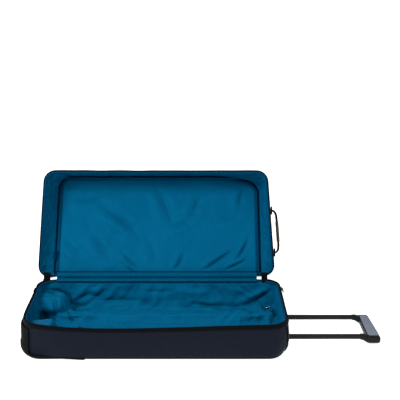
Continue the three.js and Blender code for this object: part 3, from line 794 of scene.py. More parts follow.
def makeGuard():
    first, last = guardSet["lipColumns"]
    foot = guardSet["footColumns"]
    high, low = guardSet["footHigh"]
    end = np.arange(first, last + 1)
    front = np.arange(last, last + foot + 1)
    rear = np.arange(first - foot, first + 1)
    slope = np.linspace(high, low, foot + 1)
    strips = [guardStrip(end, np.full(len(end), guardSet["top"])), guardStrip(front, slope),
              guardStrip(rear, slope[::-1])]
    guard = makePiece("endGuard", joinShapes(strips), "guard", "tray", ["kick_plate"])
    shell = guard.modifiers.new("wall", "SOLIDIFY")
    shell.thickness = guardSet["thick"]
    shell.offset = 0.0
    cutAway(guard, wheelOpenings(0.0006))
    guard.data.polygons.foreach_set("use_smooth", [True] * len(guard.data.polygons))
    softenEdges(guard, 0.0007)
    # a raised bead follows the free edge
    path = []
    ups = []

    def follow(columns, heights):
        for column, height in zip(columns, heights):
            one = slice(column, column + 1)
            path.append(guardPoints(one, float(height), -0.0012)[0])
            ups.append((*trayNormals[column], 0.2))

    follow(rear, slope[::-1])
    follow([first] * 12, np.linspace(high + 0.004, guardSet["top"] - 0.006, 12))
    follow(end[1:-1], [guardSet["top"] - 0.0015] * (len(end) - 2))
    follow([last] * 12, np.linspace(guardSet["top"] - 0.006, high + 0.004, 12))
    follow(front, slope)
    path, ups = respace(path, 0.004, False, ups)
    makePiece("guardBead", sweep(path, ups, circleSection(guardSet["bead"], 8)), "guard", "tray")


makeTrayShell()
makeTrayRim()
makeTrayPiping()
makeGuard()
print("tray shell ready")

# Tray lining: a loose liner draped over the wheel housings and the handle tubes

liningSet = {
    "steps": (96, 40, 8),
    "hemInset": 0.0062,
    "hemBelow": 0.006,
    "wallSlope": 0.010,
    "lowRound": 0.030,
    "floor": 0.0145,
    "wall": 0.0045,
    "tubeHigh": 0.0375,
    "extraCloth": 0.045,
    "overhang": 0.018,
    "flat": (0.98, 0.56),
    "frames": 26,
    "thick": 0.0006,
}
liningFolds = [
    # places in the bag, then ridge height and crease width
    # rear left corner, over the housing and down to the floor
    ((-0.372, 0.150, 0.080), (-0.300, 0.155, 0.085), (-0.280, 0.150, 0.030), 0.0090, 0.0060),
    ((-0.280, 0.150, 0.032), (-0.262, 0.150, 0.016), (-0.225, 0.155, 0.024), 0.0080, 0.0060),
    ((-0.372, 0.130, 0.085), (-0.368, 0.130, 0.060), (-0.360, 0.120, 0.045), 0.0070, 0.0050),
    ((-0.335, 0.085, 0.078), (-0.315, 0.080, 0.060), (-0.300, 0.075, 0.030), 0.0080, 0.0060),
    ((-0.300, 0.110, 0.060), (-0.285, 0.100, 0.040), (-0.262, 0.100, 0.018), 0.0080, 0.0060),
    # rear wall
    ((-0.235, 0.165, 0.080), (-0.200, 0.165, 0.100), (-0.155, 0.165, 0.096), 0.0050, 0.0060),
    ((-0.260, 0.163, 0.056), (-0.230, 0.163, 0.064), (-0.190, 0.163, 0.052), 0.0050, 0.0060),
    ((-0.210, 0.160, 0.040), (-0.140, 0.160, 0.046), (-0.060, 0.160, 0.038), 0.0070, 0.0070),
    ((0.240, 0.165, 0.100), (0.255, 0.165, 0.092), (0.278, 0.165, 0.074), 0.0050, 0.0060),
    ((0.060, 0.165, 0.090), (0.120, 0.165, 0.080), (0.170, 0.165, 0.092), 0.0040, 0.0080),
    ((-0.060, 0.165, 0.075), (-0.010, 0.165, 0.066), (0.050, 0.165, 0.078), 0.0040, 0.0080),
    # long ridges at the foot of the rear wall
    ((0.095, 0.158, 0.034), (0.150, 0.155, 0.022), (0.245, 0.150, 0.016), 0.0100, 0.0060),
    ((0.050, 0.150, 0.015), (0.150, 0.140, 0.015), (0.275, 0.135, 0.015), 0.0090, 0.0065),
    ((-0.060, 0.120, 0.015), (0.030, 0.112, 0.015), (0.140, 0.118, 0.015), 0.0060, 0.0070),
    # handle end
    ((0.362, 0.150, 0.085), (0.315, 0.152, 0.030), (0.235, 0.156, 0.014), 0.0110, 0.0070),
    ((0.290, 0.140, 0.015), (0.260, 0.100, 0.015), (0.200, 0.035, 0.015), 0.0090, 0.0065),
    ((0.370, 0.110, 0.060), (0.372, 0.070, 0.050), (0.366, 0.040, 0.035), 0.0070, 0.0060),
    ((0.340, 0.060, 0.020), (0.320, 0.045, 0.018), (0.290, 0.040, 0.016), 0.0060, 0.0060),
    ((0.350, 0.130, 0.030), (0.320, 0.100, 0.020), (0.300, 0.070, 0.018), 0.0060, 0.0070),
    # floor at the wheel end
    ((-0.300, 0.060, 0.016), (-0.250, 0.050, 0.016), (-0.180, 0.085, 0.020), 0.0080, 0.0060),
    ((-0.175, 0.100, 0.020), (-0.160, 0.092, 0.020), (-0.145, 0.080, 0.020), 0.0050, 0.0050),
    ((-0.150, 0.095, 0.020), (-0.110, 0.085, 0.020), (-0.070, 0.080, 0.020), 0.0050, 0.0060),
    ((-0.270, 0.130, 0.018), (-0.200, 0.120, 0.018), (-0.120, 0.130, 0.018), 0.0070, 0.0070),
]


def liningBase(x, y, height, housings, tubes):
    # raises the cloth over what lies under it
    for low, high in housings:
        across = np.maximum(np.maximum(low.y - y, y - high.y), 0)
        along = np.maximum(x - high.x, 0)
        away = np.sqrt(across ** 2 + along ** 2)
        height = np.maximum(height, (high.z + 0.006) * (1 - smoothStep((away - 0.006) / 0.045)))
    for low, high in tubes:
        across = np.maximum(np.maximum(low.y - y, y - high.y), 0)
        along = np.maximum(low.x - x, 0)
        away = np.sqrt(across ** 2 + along ** 2)
        height = np.maximum(height, liningSet["floor"] + (liningSet["tubeHigh"] - liningSet["floor"])
                            * (1 - smoothStep((away - 0.004) / 0.022)))
    return height


def addCollider(name, shape, gap):
    mesh = bpy.data.meshes.new(name)
    mesh.from_pydata([tuple(point) for point in shape[0]], [], shape[1])
    collider = bpy.data.objects.new(name, mesh)
    scene.collection.objects.link(collider)
    collider.modifiers.new("solid", "COLLISION")
    collider.collision.thickness_outer = gap
    collider.collision.cloth_friction = 8.0
    return collider


def drapeCloth(piece, pinned, colliders):
    # runs Blender's cloth on the piece and keeps the result as its mesh
    group = piece.vertex_groups.new(name="held")
    group.add([int(index) for index in pinned], 1.0, "REPLACE")
    modifier = piece.modifiers.new("cloth", "CLOTH")
    settings = modifier.settings
    settings.quality = 5
    settings.mass = 0.12
    settings.tension_stiffness = 18.0
    settings.compression_stiffness = 18.0
    settings.shear_stiffness = 6.0
    settings.bending_stiffness = 0.12
    settings.air_damping = 2.0
    settings.vertex_group_mass = "held"
    settings.shrink_min = -liningSet["extraCloth"]
    modifier.collision_settings.distance_min = 0.002
    modifier.collision_settings.use_collision = True
    for number in range(1, liningSet["frames"] + 1):
        scene.frame_set(number)
    evaluated = piece.evaluated_get(bpy.context.evaluated_depsgraph_get())
    finished = bpy.data.meshes.new_from_object(evaluated)
    old = piece.data
    piece.modifiers.remove(modifier)
    piece.data = finished
    bpy.data.meshes.remove(old)
    for collider in colliders:
        bpy.data.objects.remove(collider)
    scene.frame_set(1)


def makeTrayLining():
    loop, normals = roundedLoop(trayHigh.x, trayLow.y, trayHigh.y, traySet["corner"], liningSet["steps"])
    housings = [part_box("wheel_housing_front"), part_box("wheel_housing_rear")]
    tubes = [(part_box(f"tube_foot_{side}")[0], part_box(f"tube_socket_{side}")[1]) for side in ("front", "rear")]
    top = trayHigh.z - liningSet["hemBelow"]
    rows = []
    for share in np.linspace(0, 1, 12):
        height = top + (liningSet["floor"] + liningSet["lowRound"] - top) * share
        inset = liningSet["hemInset"] + liningSet["wallSlope"] * share ** 1.5
        rows.append(trayPoints(loop, normals, inset, height, bulge=0.4))
    for turn in np.linspace(0, math.pi / 2, 7)[1:]:
        inset = liningSet["hemInset"] + liningSet["wallSlope"] + liningSet["lowRound"] * (1 - math.cos(turn))
        height = liningSet["floor"] + liningSet["lowRound"] * (1 - math.sin(turn))
        rows.append(trayPoints(loop, normals, inset, height, bulge=0.0))
    edge = rows[-1]
    spine = np.clip(edge[:, 0], -0.22, 0.22)
    for share in np.linspace(0, 1, 17)[1:]:
        row = edge.copy()
        row[:, 0] += (spine - edge[:, 0]) * share
        row[:, 1] *= 1 - share
        rows.append(row)
    for row in rows[1:]:
        row[:, 2] = liningBase(row[:, 0], row[:, 1], row[:, 2], housings, tubes)
    lining = makePiece("trayLining", loft(rows), "lining")
    solids = [boxShape(low, high) for low, high in housings + tubes]
    solids.append(boxShape((-0.40, -0.2, -0.02), (0.40, 0.2, liningSet["floor"] - 0.003)))
    wall = liningSet["wall"]
    solids.append(boxShape((-0.40, trayHigh.y - wall, 0), (0.40, trayHigh.y + 0.02, 0.10)))
    solids.append(boxShape((-0.40, trayLow.y - 0.02, 0), (0.40, trayLow.y + wall, 0.09)))
    solids.append(boxShape((trayHigh.x - wall, -0.2, 0), (trayHigh.x + 0.02, 0.2, 0.10)))
    solids.append(boxShape((trayLow.x - 0.02, -0.2, 0), (trayLow.x + wall, 0.2, 0.10)))
    colliders = [addCollider(f"under{index}", solid, 0.002) for index, solid in enumerate(solids)]
    rimLine = [vertex.index for vertex in lining.data.vertices if isHem(vertex.co, loop, normals, top)]
    drapeCloth(lining, rimLine, colliders)
    refine(lining, 1)
    shiftVertices(lining, creaseLining)
    finishSheet(lining, liningSet["thick"])
    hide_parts("tray_lining")
    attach(lining, "tray")
    return lining


def isHem(place, loop, normals, top):
    # the lining's top row, found by its distance from the rim line
    rim = trayPoints(loop, normals, liningSet["hemInset"], top, bulge=0.4)
    return float(np.min(np.linalg.norm(rim - np.array(place), axis=1))) < 0.0008


def creaseLining(places, normals):
    # folds rise into the bag, so the normals are turned to point up from the floor
    inward = normals * np.sign(normals[:, 2].sum())
    rim = trayHigh.z - liningSet["hemBelow"]
    loose = smoothStep((rim - 0.004 - places[:, 2]) / 0.03)
    crinkle = waver(places, 24.0, 12.0) * 0.0036 + waver(places, 50.0, 13.0) * 0.0012
    crinkle += waver(places, 10.0, 14.0) * 0.003
    floorPart = smoothStep((0.060 - places[:, 2]) / 0.03)
    crinkle += floorPart * (np.abs(waver(places, 13.0, 15.0)) - 0.2) * 0.0120
    folds = foldProfile(places, inward, liningFolds, snap=True)
    moved = places + inward * ((folds + crinkle) * loose)[:, None]
    # slack cloth hangs over the hollow between the wheel housings
    between = smoothStep((-places[:, 0] - 0.285) / 0.03) * np.exp(-((places[:, 1] - 0.072) / 0.028) ** 2)
    moved[:, 1] -= between * liningSet["overhang"] * np.exp(-((places[:, 2] - 0.058) / 0.014) ** 2)
    moved[:, 1] += between * liningSet["overhang"] * 0.8 * np.exp(-((places[:, 2] - 0.024) / 0.013) ** 2)
    moved[:, 2] = np.maximum(moved[:, 2], liningSet["floor"] - 0.0035)
    return moved


def finishSheet(piece, thick):
    piece.data.polygons.foreach_set("use_smooth", [True] * len(piece.data.polygons))
    shell = piece.modifiers.new("clothThickness", "SOLIDIFY")
    shell.thickness = thick
    shell.offset = 0.0


trayLining = makeTrayLining()
print("tray lining ready")

# Lid: places on it are given along the bag, up from the hinge, and into its depth

hingeAt = Vector(next(joint["pos_m"] for joint in frame["joints"] if joint["name"] == "lid_hinge"))
lidSet = {
    "lean": math.radians(22.0),
    "low": 0.008,
    "high": 0.346,
    "depth": 0.150,
    "taper": 0.056,
    "shift": -0.008,
    "leanOut": (0.006, 0.007),  # the wheel end leans outwards towards the top
    "corner": 0.034,
    "endRound": 0.040,
    "sideRound": 0.032,
    "wall": 0.0035,
    "bulge": 0.006,
    "steps": (84, 40, 10),
}
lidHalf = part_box("lid_shell")[1].x
lidLoop, lidNormals = roundedLoop(lidHalf, lidSet["low"], lidSet["high"], lidSet["corner"], lidSet["steps"])


def onLid(x, up, depth):
    up = np.asarray(up, float)
    rise = math.cos(lidSet["lean"])
    run = math.sin(lidSet["lean"])
    y = hingeAt.y + up * run + depth * rise
    z = hingeAt.z + up * rise - depth * run
    return np.stack(np.broadcast_arrays(np.asarray(x, float), y, z), axis=-1)


def lidTaper(up):
    return 1 - lidSet["taper"] * (up - lidSet["low"]) / (lidSet["high"] - lidSet["low"])


def lidPoints(loop, normals, inset, depth, bulge=1.0):
    inset = np.broadcast_to(np.asarray(inset, float), (len(loop),))
    depth = np.broadcast_to(np.asarray(depth, float), (len(loop),))
    x = loop[:, 0] - normals[:, 0] * inset
    up = loop[:, 1] - normals[:, 1] * inset
    share = np.clip(depth / lidSet["depth"], 0, 1)
    out = lidSet["bulge"] * np.sin(math.pi * share) ** 0.8 * bulge * smoothStep(up / 0.06)
    ripple = waver(np.stack([x, up, depth], axis=1), 8.0, 5.0) * 0.003 * np.sin(math.pi * share) * bulge
    x = (x + normals[:, 0] * (out + ripple)) * lidTaper(up) + lidSet["shift"]
    x = x - np.clip(-x / lidHalf, 0, 1) * (lidSet["leanOut"][0] + lidSet["leanOut"][1] * up / lidSet["high"])
    up = up + normals[:, 1] * (out + ripple)
    edge = waver(np.stack([x, up, x * 0], axis=1), 14.0, 9.0) * 0.0020 * smoothStep((up - 0.1) / 0.2)
    dip = 0.0055 * smoothStep((-x - 0.27) / 0.07) + 0.002 * smoothStep((x - 0.27) / 0.07)
    dip = dip * (1 - smoothStep(up / 0.09))
    return onLid(x, up + edge - dip, depth)


def lidRound(normals):
    weight = normals[:, 0] ** 2
    return lidSet["sideRound"] * (1 - weight) + lidSet["endRound"] * weight


def lidOuterRows(inset, floorGap):
    radius = lidRound(lidNormals)
    deep = lidSet["depth"]
    rows = []
    for share in np.linspace(0, 1, 13):
        rows.append(lidPoints(lidLoop, lidNormals, inset, 0.002 + (deep - radius - 0.002) * share))
    for turn in np.linspace(0, math.pi / 2, 9)[1:]:
        rowInset = inset + radius * (1 - math.cos(turn)) * (1 - inset / 0.05)
        rowDepth = deep - floorGap * math.sin(turn) - radius * (1 - math.sin(turn))
        rows.append(lidPoints(lidLoop, lidNormals, rowInset, rowDepth))
    edge = rows[-1]
    middle = onLid(np.clip(edge[:, 0], -0.2, 0.2), (lidSet["low"] + lidSet["high"]) / 2, deep - floorGap)
    for share in np.linspace(0, 1, 11)[1:]:
        row = edge + (middle - edge) * share
        puff = 0.004 * math.sin(math.pi * share / 2) + waver(row, 7.0, 3.0) * 0.004 * share
        rows.append(row + onLid(0, 0, 1)[None] * puff[:, None] - onLid(0, 0, 0)[None] * puff[:, None])
    return rows


def makeLidShell():
    rows = lidOuterRows(0.0, 0.0)[::-1] + lidOuterRows(lidSet["wall"], lidSet["wall"])
    makePiece("lidShell", loft(rows), "outer_nylon", "lid", ["lid_shell"], rounds=1)
    radius = lidRound(lidNormals)
    turn = math.pi / 4
    ring = lidPoints(lidLoop, lidNormals, radius * (1 - math.cos(turn)) - 0.001,
                     lidSet["depth"] - radius * (1 - math.sin(turn)))
    outward = onLid(lidNormals[:, 0], lidNormals[:, 1], 0.8) - onLid(0, 0, 0)
    piping = sweep(ring, outward, circleSection(0.0021, 8), closed=True)
    makePiece("lidPiping", piping, "black_tape", "lid")


def lidHinge(places):
    return (places[:, 2] < hingeAt.z + 0.022) & (np.abs(places[:, 0] + 0.009) < 0.345)


def makeLidRim():
    run = openRun(lidPoints(lidLoop, lidNormals, 0.0, 0.0), lidHinge)
    profile = [(0.0004, 0.013), (-0.0010, 0.012), (-0.0013, 0.005), (-0.0009, 0.001), (0.0, -0.0004),
               (0.0011, -0.0004), (0.0022, 0.001), (0.0030, 0.005), (0.0030, 0.009), (0.0020, 0.010)]
    rows = np.stack([lidPoints(lidLoop, lidNormals, inset, depth)[run] for inset, depth in profile], axis=1)
    makePiece("lidZipTape", loft(rows, caps=True), "black_tape", "lid", ["lid_zip_tape"])
    outOfLid = onLid(0, 0, -1) - onLid(0, 0, 0)
    teethLine = lidPoints(lidLoop, lidNormals, 0.0002, -0.0008)[run]
    teeth = beadsAlong(teethLine, outOfLid, 0.0032, (0.0019, 0.0028, 0.0013))
    makePiece("lidTeeth", teeth, "black_tape", "lid", smooth=False)
    hemLine = lidPoints(lidLoop, lidNormals, 0.0056, 0.0042)
    hem = sweep(hemLine, outOfLid, circleSection(0.0030, 10), closed=True)
    makePiece("lidHem", hem, "panelTape", "lid", ["lid_rim_wire"])


# Inner panel of the lid, with its tape and zip, and the gusset round it

panelSet = {
    "halfWide": 0.333,
    "low": 0.0145,
    "high": 0.338,
    "lowDepth": 0.040,
    "highDepth": 0.112,
    "topCorner": 0.040,
    "squareCorner": 0.006,
    "droop": 0.020,           # the top edge sinks towards the handle end
    "droopFrom": 0.19,
    "shift": -0.0095,
    "tapeWide": 0.013,
    "steps": (84, 40, 10),
    "thick": 0.0008,
    "flat": (0.655, 0.345),
}
panelFolds = [
    # places on the panel as x and height, then ridge height and crease width
    ((-0.117, 0.080), (-0.095, 0.050), (-0.055, 0.022), 0.0060, 0.0050),
    ((-0.314, 0.125), (-0.290, 0.095), (-0.240, 0.060), 0.0050, 0.0090),
    ((-0.225, 0.150), (-0.190, 0.105), (-0.155, 0.055), 0.0055, 0.0100),
    ((-0.200, 0.255), (-0.150, 0.210), (-0.070, 0.150), 0.0050, 0.0120),
    ((-0.160, 0.215), (-0.110, 0.190), (-0.060, 0.130), 0.0040, 0.0110),
    ((-0.010, 0.315), (0.025, 0.240), (0.050, 0.172), 0.0055, 0.0120),
    ((0.046, 0.172), (0.070, 0.172), (0.105, 0.186), 0.0050, 0.0080),
    ((0.142, 0.270), (0.125, 0.235), (0.105, 0.190), 0.0045, 0.0100),
    ((0.245, 0.085), (0.205, 0.060), (0.150, 0.020), 0.0065, 0.0060),
    ((0.300, 0.130), (0.285, 0.085), (0.250, 0.048), 0.0055, 0.0050),
    ((0.290, 0.055), (0.265, 0.045), (0.220, 0.022), 0.0055, 0.0045),
    ((0.085, 0.085), (0.080, 0.050), (0.054, 0.018), 0.0050, 0.0065),
    ((0.290, 0.295), (0.272, 0.270), (0.275, 0.235), 0.0040, 0.0080),
    ((-0.040, 0.140), (-0.010, 0.090), (-0.005, 0.030), 0.0035, 0.0110),
    ((-0.300, 0.270), (-0.240, 0.255), (-0.170, 0.290), 0.0040, 0.0120),
    ((0.170, 0.200), (0.220, 0.190), (0.280, 0.215), 0.0032, 0.0110),
]


def panelDepth(up):
    rise = (up - panelSet["low"]) / (panelSet["high"] - panelSet["low"])
    return panelSet["lowDepth"] + (panelSet["highDepth"] - panelSet["lowDepth"]) * rise


def droopBy(x, up):
    along = smoothStep((x - panelSet["droopFrom"]) / (panelSet["halfWide"] - panelSet["droopFrom"] + 0.02))
    return panelSet["droop"] * along * smoothStep((up - 0.15) / 0.18)


def panelEdge(inset, deeper=0.0):
    # a loop round the panel: square at the hinge, rounded at the top
    loop, normals = roundedLoop(panelSet["halfWide"], panelSet["low"], panelSet["high"],
                                panelSet["topCorner"], panelSet["steps"])
    squareLoop, _ = roundedLoop(panelSet["halfWide"], panelSet["low"], panelSet["high"],
                                panelSet["squareCorner"], panelSet["steps"])
    square = smoothStep((0.12 - loop[:, 1]) / 0.06)[:, None]
    loop = loop * (1 - square) + squareLoop * square
    x = loop[:, 0] - normals[:, 0] * inset
    up = loop[:, 1] - normals[:, 1] * inset
    up = up - droopBy(x, up)
    return onLid(x + panelSet["shift"], up, panelDepth(up) + deeper)


def makeLidLining():
    # gusset from the rim down to the panel, slack enough to fold
    rim = lidPoints(lidLoop, lidNormals, 0.0052, 0.005, bulge=0.0)
    foot = panelEdge(-0.004, 0.004)
    rows = []
    # known fault: the slack goes outwards, so folds of the gusset come through the lid's shell
    outwards = onLid(lidNormals[:, 0], lidNormals[:, 1], 0) - onLid(0, 0, 0)
    for share in np.linspace(0, 1, 34):
        row = rim + (foot - rim) * share
        slack = math.sin(math.pi * share) ** 0.8
        crease = waver(row, 34.0, 2.0) * 0.0060 + waver(row, 13.0, 4.0) * 0.0070
        crease += waver(row, 62.0, 7.0) * 0.0026
        rows.append(row + outwards * (slack * np.maximum(0.0055 + crease, 0.001))[:, None])
    # behind the panel the gusset goes on to the bottom of the lid
    deep = lidPoints(lidLoop, lidNormals, 0.034, lidSet["depth"] - 0.010, bulge=0.0)
    backRim = lidPoints(lidLoop, lidNormals, 0.010, lidSet["depth"] * 0.7, bulge=0.0)
    # the gusset's finish is the lining painted a little lighter, as painted light
    makePiece("lidLining", loft(rows), "litGussetLining", "lid", ["lid_lining"], thick=0.0008, rounds=1)
    back = onLid(np.clip(deep[:, 0], -0.2, 0.2), (lidSet["low"] + lidSet["high"]) / 2, lidSet["depth"] - 0.010)
    rows = [backRim, (backRim + deep) / 2, deep]
    rows += [deep + (back - deep) * share for share in np.linspace(0, 1, 8)[1:]]
    makePiece("lidBackLining", loft(rows), "lining", "lid", thick=0.0008, rounds=1)


def makePanel():
    wide = 230
    tall = 116
    half = panelSet["halfWide"] - panelSet["tapeWide"] + 0.003
    low = panelSet["low"]
    high = panelSet["high"] - panelSet["tapeWide"] + 0.003
    corner = panelSet["topCorner"] - panelSet["tapeWide"]
    rows = []
    for row in range(tall + 1):
        up = low + (high - low) * row / tall
        above = max(0.0, up - (high - corner))
        halfHere = half - corner + math.sqrt(max(corner ** 2 - above ** 2, 0.0))
        x = np.linspace(-halfHere, halfHere, wide + 1)
        upHere = np.full(len(x), up)
        upHere = upHere - droopBy(x, upHere)
        flat = np.stack([x, upHere, x * 0], axis=1)
        folds = foldProfile(flat, np.tile((0.0, 0.0, 1.0), (len(flat), 1)),
                            [((*a, 0), (*b, 0), (*c, 0), high_, wide_) for a, b, c, high_, wide_ in panelFolds])
        edge = np.minimum(1.0, np.minimum((halfHere - np.abs(x)) / 0.03, (up - low) / 0.02 + 0.05))
        edge = smoothStep(np.minimum(edge, (high - up) / 0.03))
        belly = 0.010 * np.sin(math.pi * (up - low) / (high - low)) * np.cos(math.pi * x / (2 * half))
        swell = waver(flat, 7.0, 6.0) * 0.0050 + waver(flat, 19.0, 8.0) * 0.0020
        swell += waver(flat, 45.0, 9.0) * 0.0007
        swell = swell * edge
        depth = panelDepth(upHere) + belly - swell - 1.35 * folds * edge
        rows.append(onLid(x + panelSet["shift"], upHere, depth))
    shape = loft(rows, closedRing=False)
    return makePiece("lidPanel", shape, "lining", "lid", ["pocket_panel"], thick=panelSet["thick"])


def makePanelZip():
    # the tape lies just in front of the panel's edge, with a dark band outside it as painted shadow in the zip's
    # groove
    loop, _ = roundedLoop(1, panelSet["low"], panelSet["high"], panelSet["squareCorner"], panelSet["steps"])
    bottom = (loop[:, 1] < panelSet["low"] + 0.0005) & (np.abs(loop[:, 0]) < 0.999)
    order = openRun(panelEdge(0.0), lambda places: bottom)
    inward = onLid(0, 0, -1) - onLid(0, 0, 0)
    rings = []
    profile = [(0.0000, 0.0030), (-0.0005, -0.0005), (0.0010, -0.0022), (0.0060, -0.0030),
               (0.0105, -0.0020), (0.0118, 0.0002), (0.0110, 0.0030)]
    for inset, deeper in profile:
        rings.append(panelEdge(inset, deeper)[order])
    band = loft(np.stack(rings, axis=1), caps=True)
    makePiece("panelTape", band, "panelTape", "lid", ["pocket_zip"], rounds=1)
    coil = beadsAlong(panelEdge(-0.0022, -0.0010)[order], inward, 0.0026, (0.0015, 0.0034, 0.0014))
    makePiece("panelTeeth", coil, "grooveTape", "lid", smooth=False)
    # a dark band laid in the groove: painted shadow of the zip teeth
    groove = sweep(panelEdge(-0.0030, 0.0016)[order], inward, bandSection(0.0100, 0.0012))
    makePiece("panelGrooveShadow", groove, "grooveTape", "lid")
    stitches = [beadsAlong(panelEdge(inset, -0.0030)[order], inward, 0.0040, (0.0028, 0.0005, 0.0005))
                for inset in (0.0024, 0.0094)]
    makePiece("panelStitches", joinShapes(stitches), "lining", "lid")


makeLidShell()
makeLidRim()
makeLidLining()
lidPanel = makePanel()
makePanelZip()
print("lid ready")

# Fabric hinge between tray and lid, and the zip ends beside it

hingeSet = {"left": -0.331, "right": 0.312, "thick": 0.0012}
zipEnds = {"left": (-0.373, -0.351), "right": (0.326, 0.346)}


def hingeLine(x, ridge):
    # one cross-section from inside the tray, over the hinge, and up into the lid
    tray = trayHigh
    line = [(tray.y - 0.0062, tray.z - 0.0100), (tray.y - 0.0094, tray.z - 0.0085),
            (tray.y - 0.0096, tray.z - 0.0045), (tray.y - 0.0050, tray.z - 0.0004 + ridge),
            (tray.y + 0.0010, tray.z + 0.0006), (tray.y + 0.0045, tray.z - 0.0016),
            (hingeAt.y - 0.0010, hingeAt.z - 0.0016)]
    points = [(x, y, z) for y, z in line]
    for up, depth in [(0.0010, -0.0014), (0.0040, -0.0034 - ridge), (0.0075, -0.0022),
                      (0.0125, -0.0015 - ridge), (0.0165, 0.0020), (0.0165, 0.0075), (0.0145, 0.0120)]:
        points.append(tuple(onLid(x, up, depth)))
    return points


def makeHinge():
    xs = np.linspace(hingeSet["left"], hingeSet["right"], 130)
    rows = []
    for x in xs:
        ridge = 0.0012 + 0.0020 * noise.noise(Vector((x * 22, 0.3, 0)))
        ridge += 0.0010 * noise.noise(Vector((x * 70, 0.7, 0)))
        rows.append(hingeLine(x, ridge))
    # the strip's finish is the lining painted darker, as painted shade
    strip = makePiece("hingeStrip", loft(rows, closedRing=False), "shadedHingeLining",
                      standsFor=["hinge_strip_tray", "hinge_strip_lid"], thick=hingeSet["thick"], rounds=1)
    # a stitched seam holds the strip to each half
    traySeam = [(x, trayHigh.y - 0.0102, trayHigh.z - 0.0058) for x in xs]
    makePiece("hingeSeamTray", sweep(traySeam, (0, -1, 0.3), circleSection(0.0017, 8)), "grooveTape", "tray")
    lidSeam = [tuple(onLid(x, 0.0178, 0.0040)) for x in xs]
    makePiece("hingeSeamLid", sweep(lidSeam, (0, -1, 0.3), circleSection(0.0017, 8)), "grooveTape", "lid")
    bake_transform(strip)
    for side, (low, high) in zipEnds.items():
        rows = []
        for x in np.linspace(low, high, 9):
            lift = 0.001 * math.sin(math.pi * (x - low) / (high - low))
            line = hingeLine(x, lift)
            rows.append(line[1:-2])
        patch = makePiece("zipEnd" + side.capitalize(), loft(rows, closedRing=False), "black_tape",
                          standsFor=["zip_end_" + side], thick=0.0022, rounds=1)
        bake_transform(patch)


makeHinge()
print("hinge ready")

# Outside pocket on the lid's back

pocketSet = {
    "puff": 0.009,
    "low": 0.055,
    "high": 0.240,
    "corner": 0.025,
    "zipUp": 0.222,
    "zipHalf": 0.232,
}


def backPoint(x, up, lift):
    return onLid(x, up, lidSet["depth"] + lift)


def makeOuterPocket():
    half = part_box("outer_pocket")[1].x
    lowUp = pocketSet["low"]
    highUp = pocketSet["high"]
    middleUp = (lowUp + highUp) / 2
    tall = (highUp - lowUp) / 2
    loop, normals = roundedLoop(half, lowUp, highUp, pocketSet["corner"], (60, 24, 8))
    rows = []
    for share in np.linspace(0, 1, 13):
        middleX = np.clip(loop[:, 0], tall - half, half - tall)
        x = loop[:, 0] + (middleX - loop[:, 0]) * share
        up = loop[:, 1] + (middleUp - loop[:, 1]) * share
        lift = 0.004 + pocketSet["puff"] * math.sin(math.pi / 2 * min(1.0, share * 1.6)) ** 0.7
        wrinkle = waver(np.stack([x, up, x * 0], axis=1), 16.0, 11.0) * 0.0022 * min(1.0, share * 4)
        rows.append(backPoint(x, up, lift + wrinkle))
    back = [backPoint(loop[:, 0] * 0.4, loop[:, 1] * 0 + middleUp, -0.001),
            backPoint(loop[:, 0], loop[:, 1], -0.001)]
    pocket = makePiece("outerPocket", loft(back + rows), "outer_nylon", "lid", ["outer_pocket"], rounds=1)
    edge = sweep(backPoint(loop[:, 0] + normals[:, 0] * 0.0005, loop[:, 1] + normals[:, 1] * 0.0005, 0.0035),
                 onLid(0, 0, 1) - onLid(0, 0, 0), circleSection(0.0022, 8), closed=True)
    makePiece("pocketPiping", edge, "black_tape", "lid")
    zipX = np.linspace(-pocketSet["zipHalf"], pocketSet["zipHalf"], 90)
    out = onLid(0, 0, 1) - onLid(0, 0, 0)
    line = backPoint(zipX, pocketSet["zipUp"], 0.0118)
    tape = sweep(line, out, bandSection(0.020, 0.0014))
    makePiece("pocketZipTape", tape, "black_tape", "lid", ["outer_pocket_zip"])
    teeth = beadsAlong(backPoint(zipX, pocketSet["zipUp"], 0.0132), out, 0.0026, (0.0015, 0.0048, 0.0014))
    makePiece("pocketTeeth", teeth, "black_tape", "lid", smooth=False)


makeOuterPocket()
print("outside pocket ready")

# Carry handle

strapSet = {"samples": 60, "wide": 0.025, "endWide": 0.013, "thick": 0.0085, "reach": 0.0125}


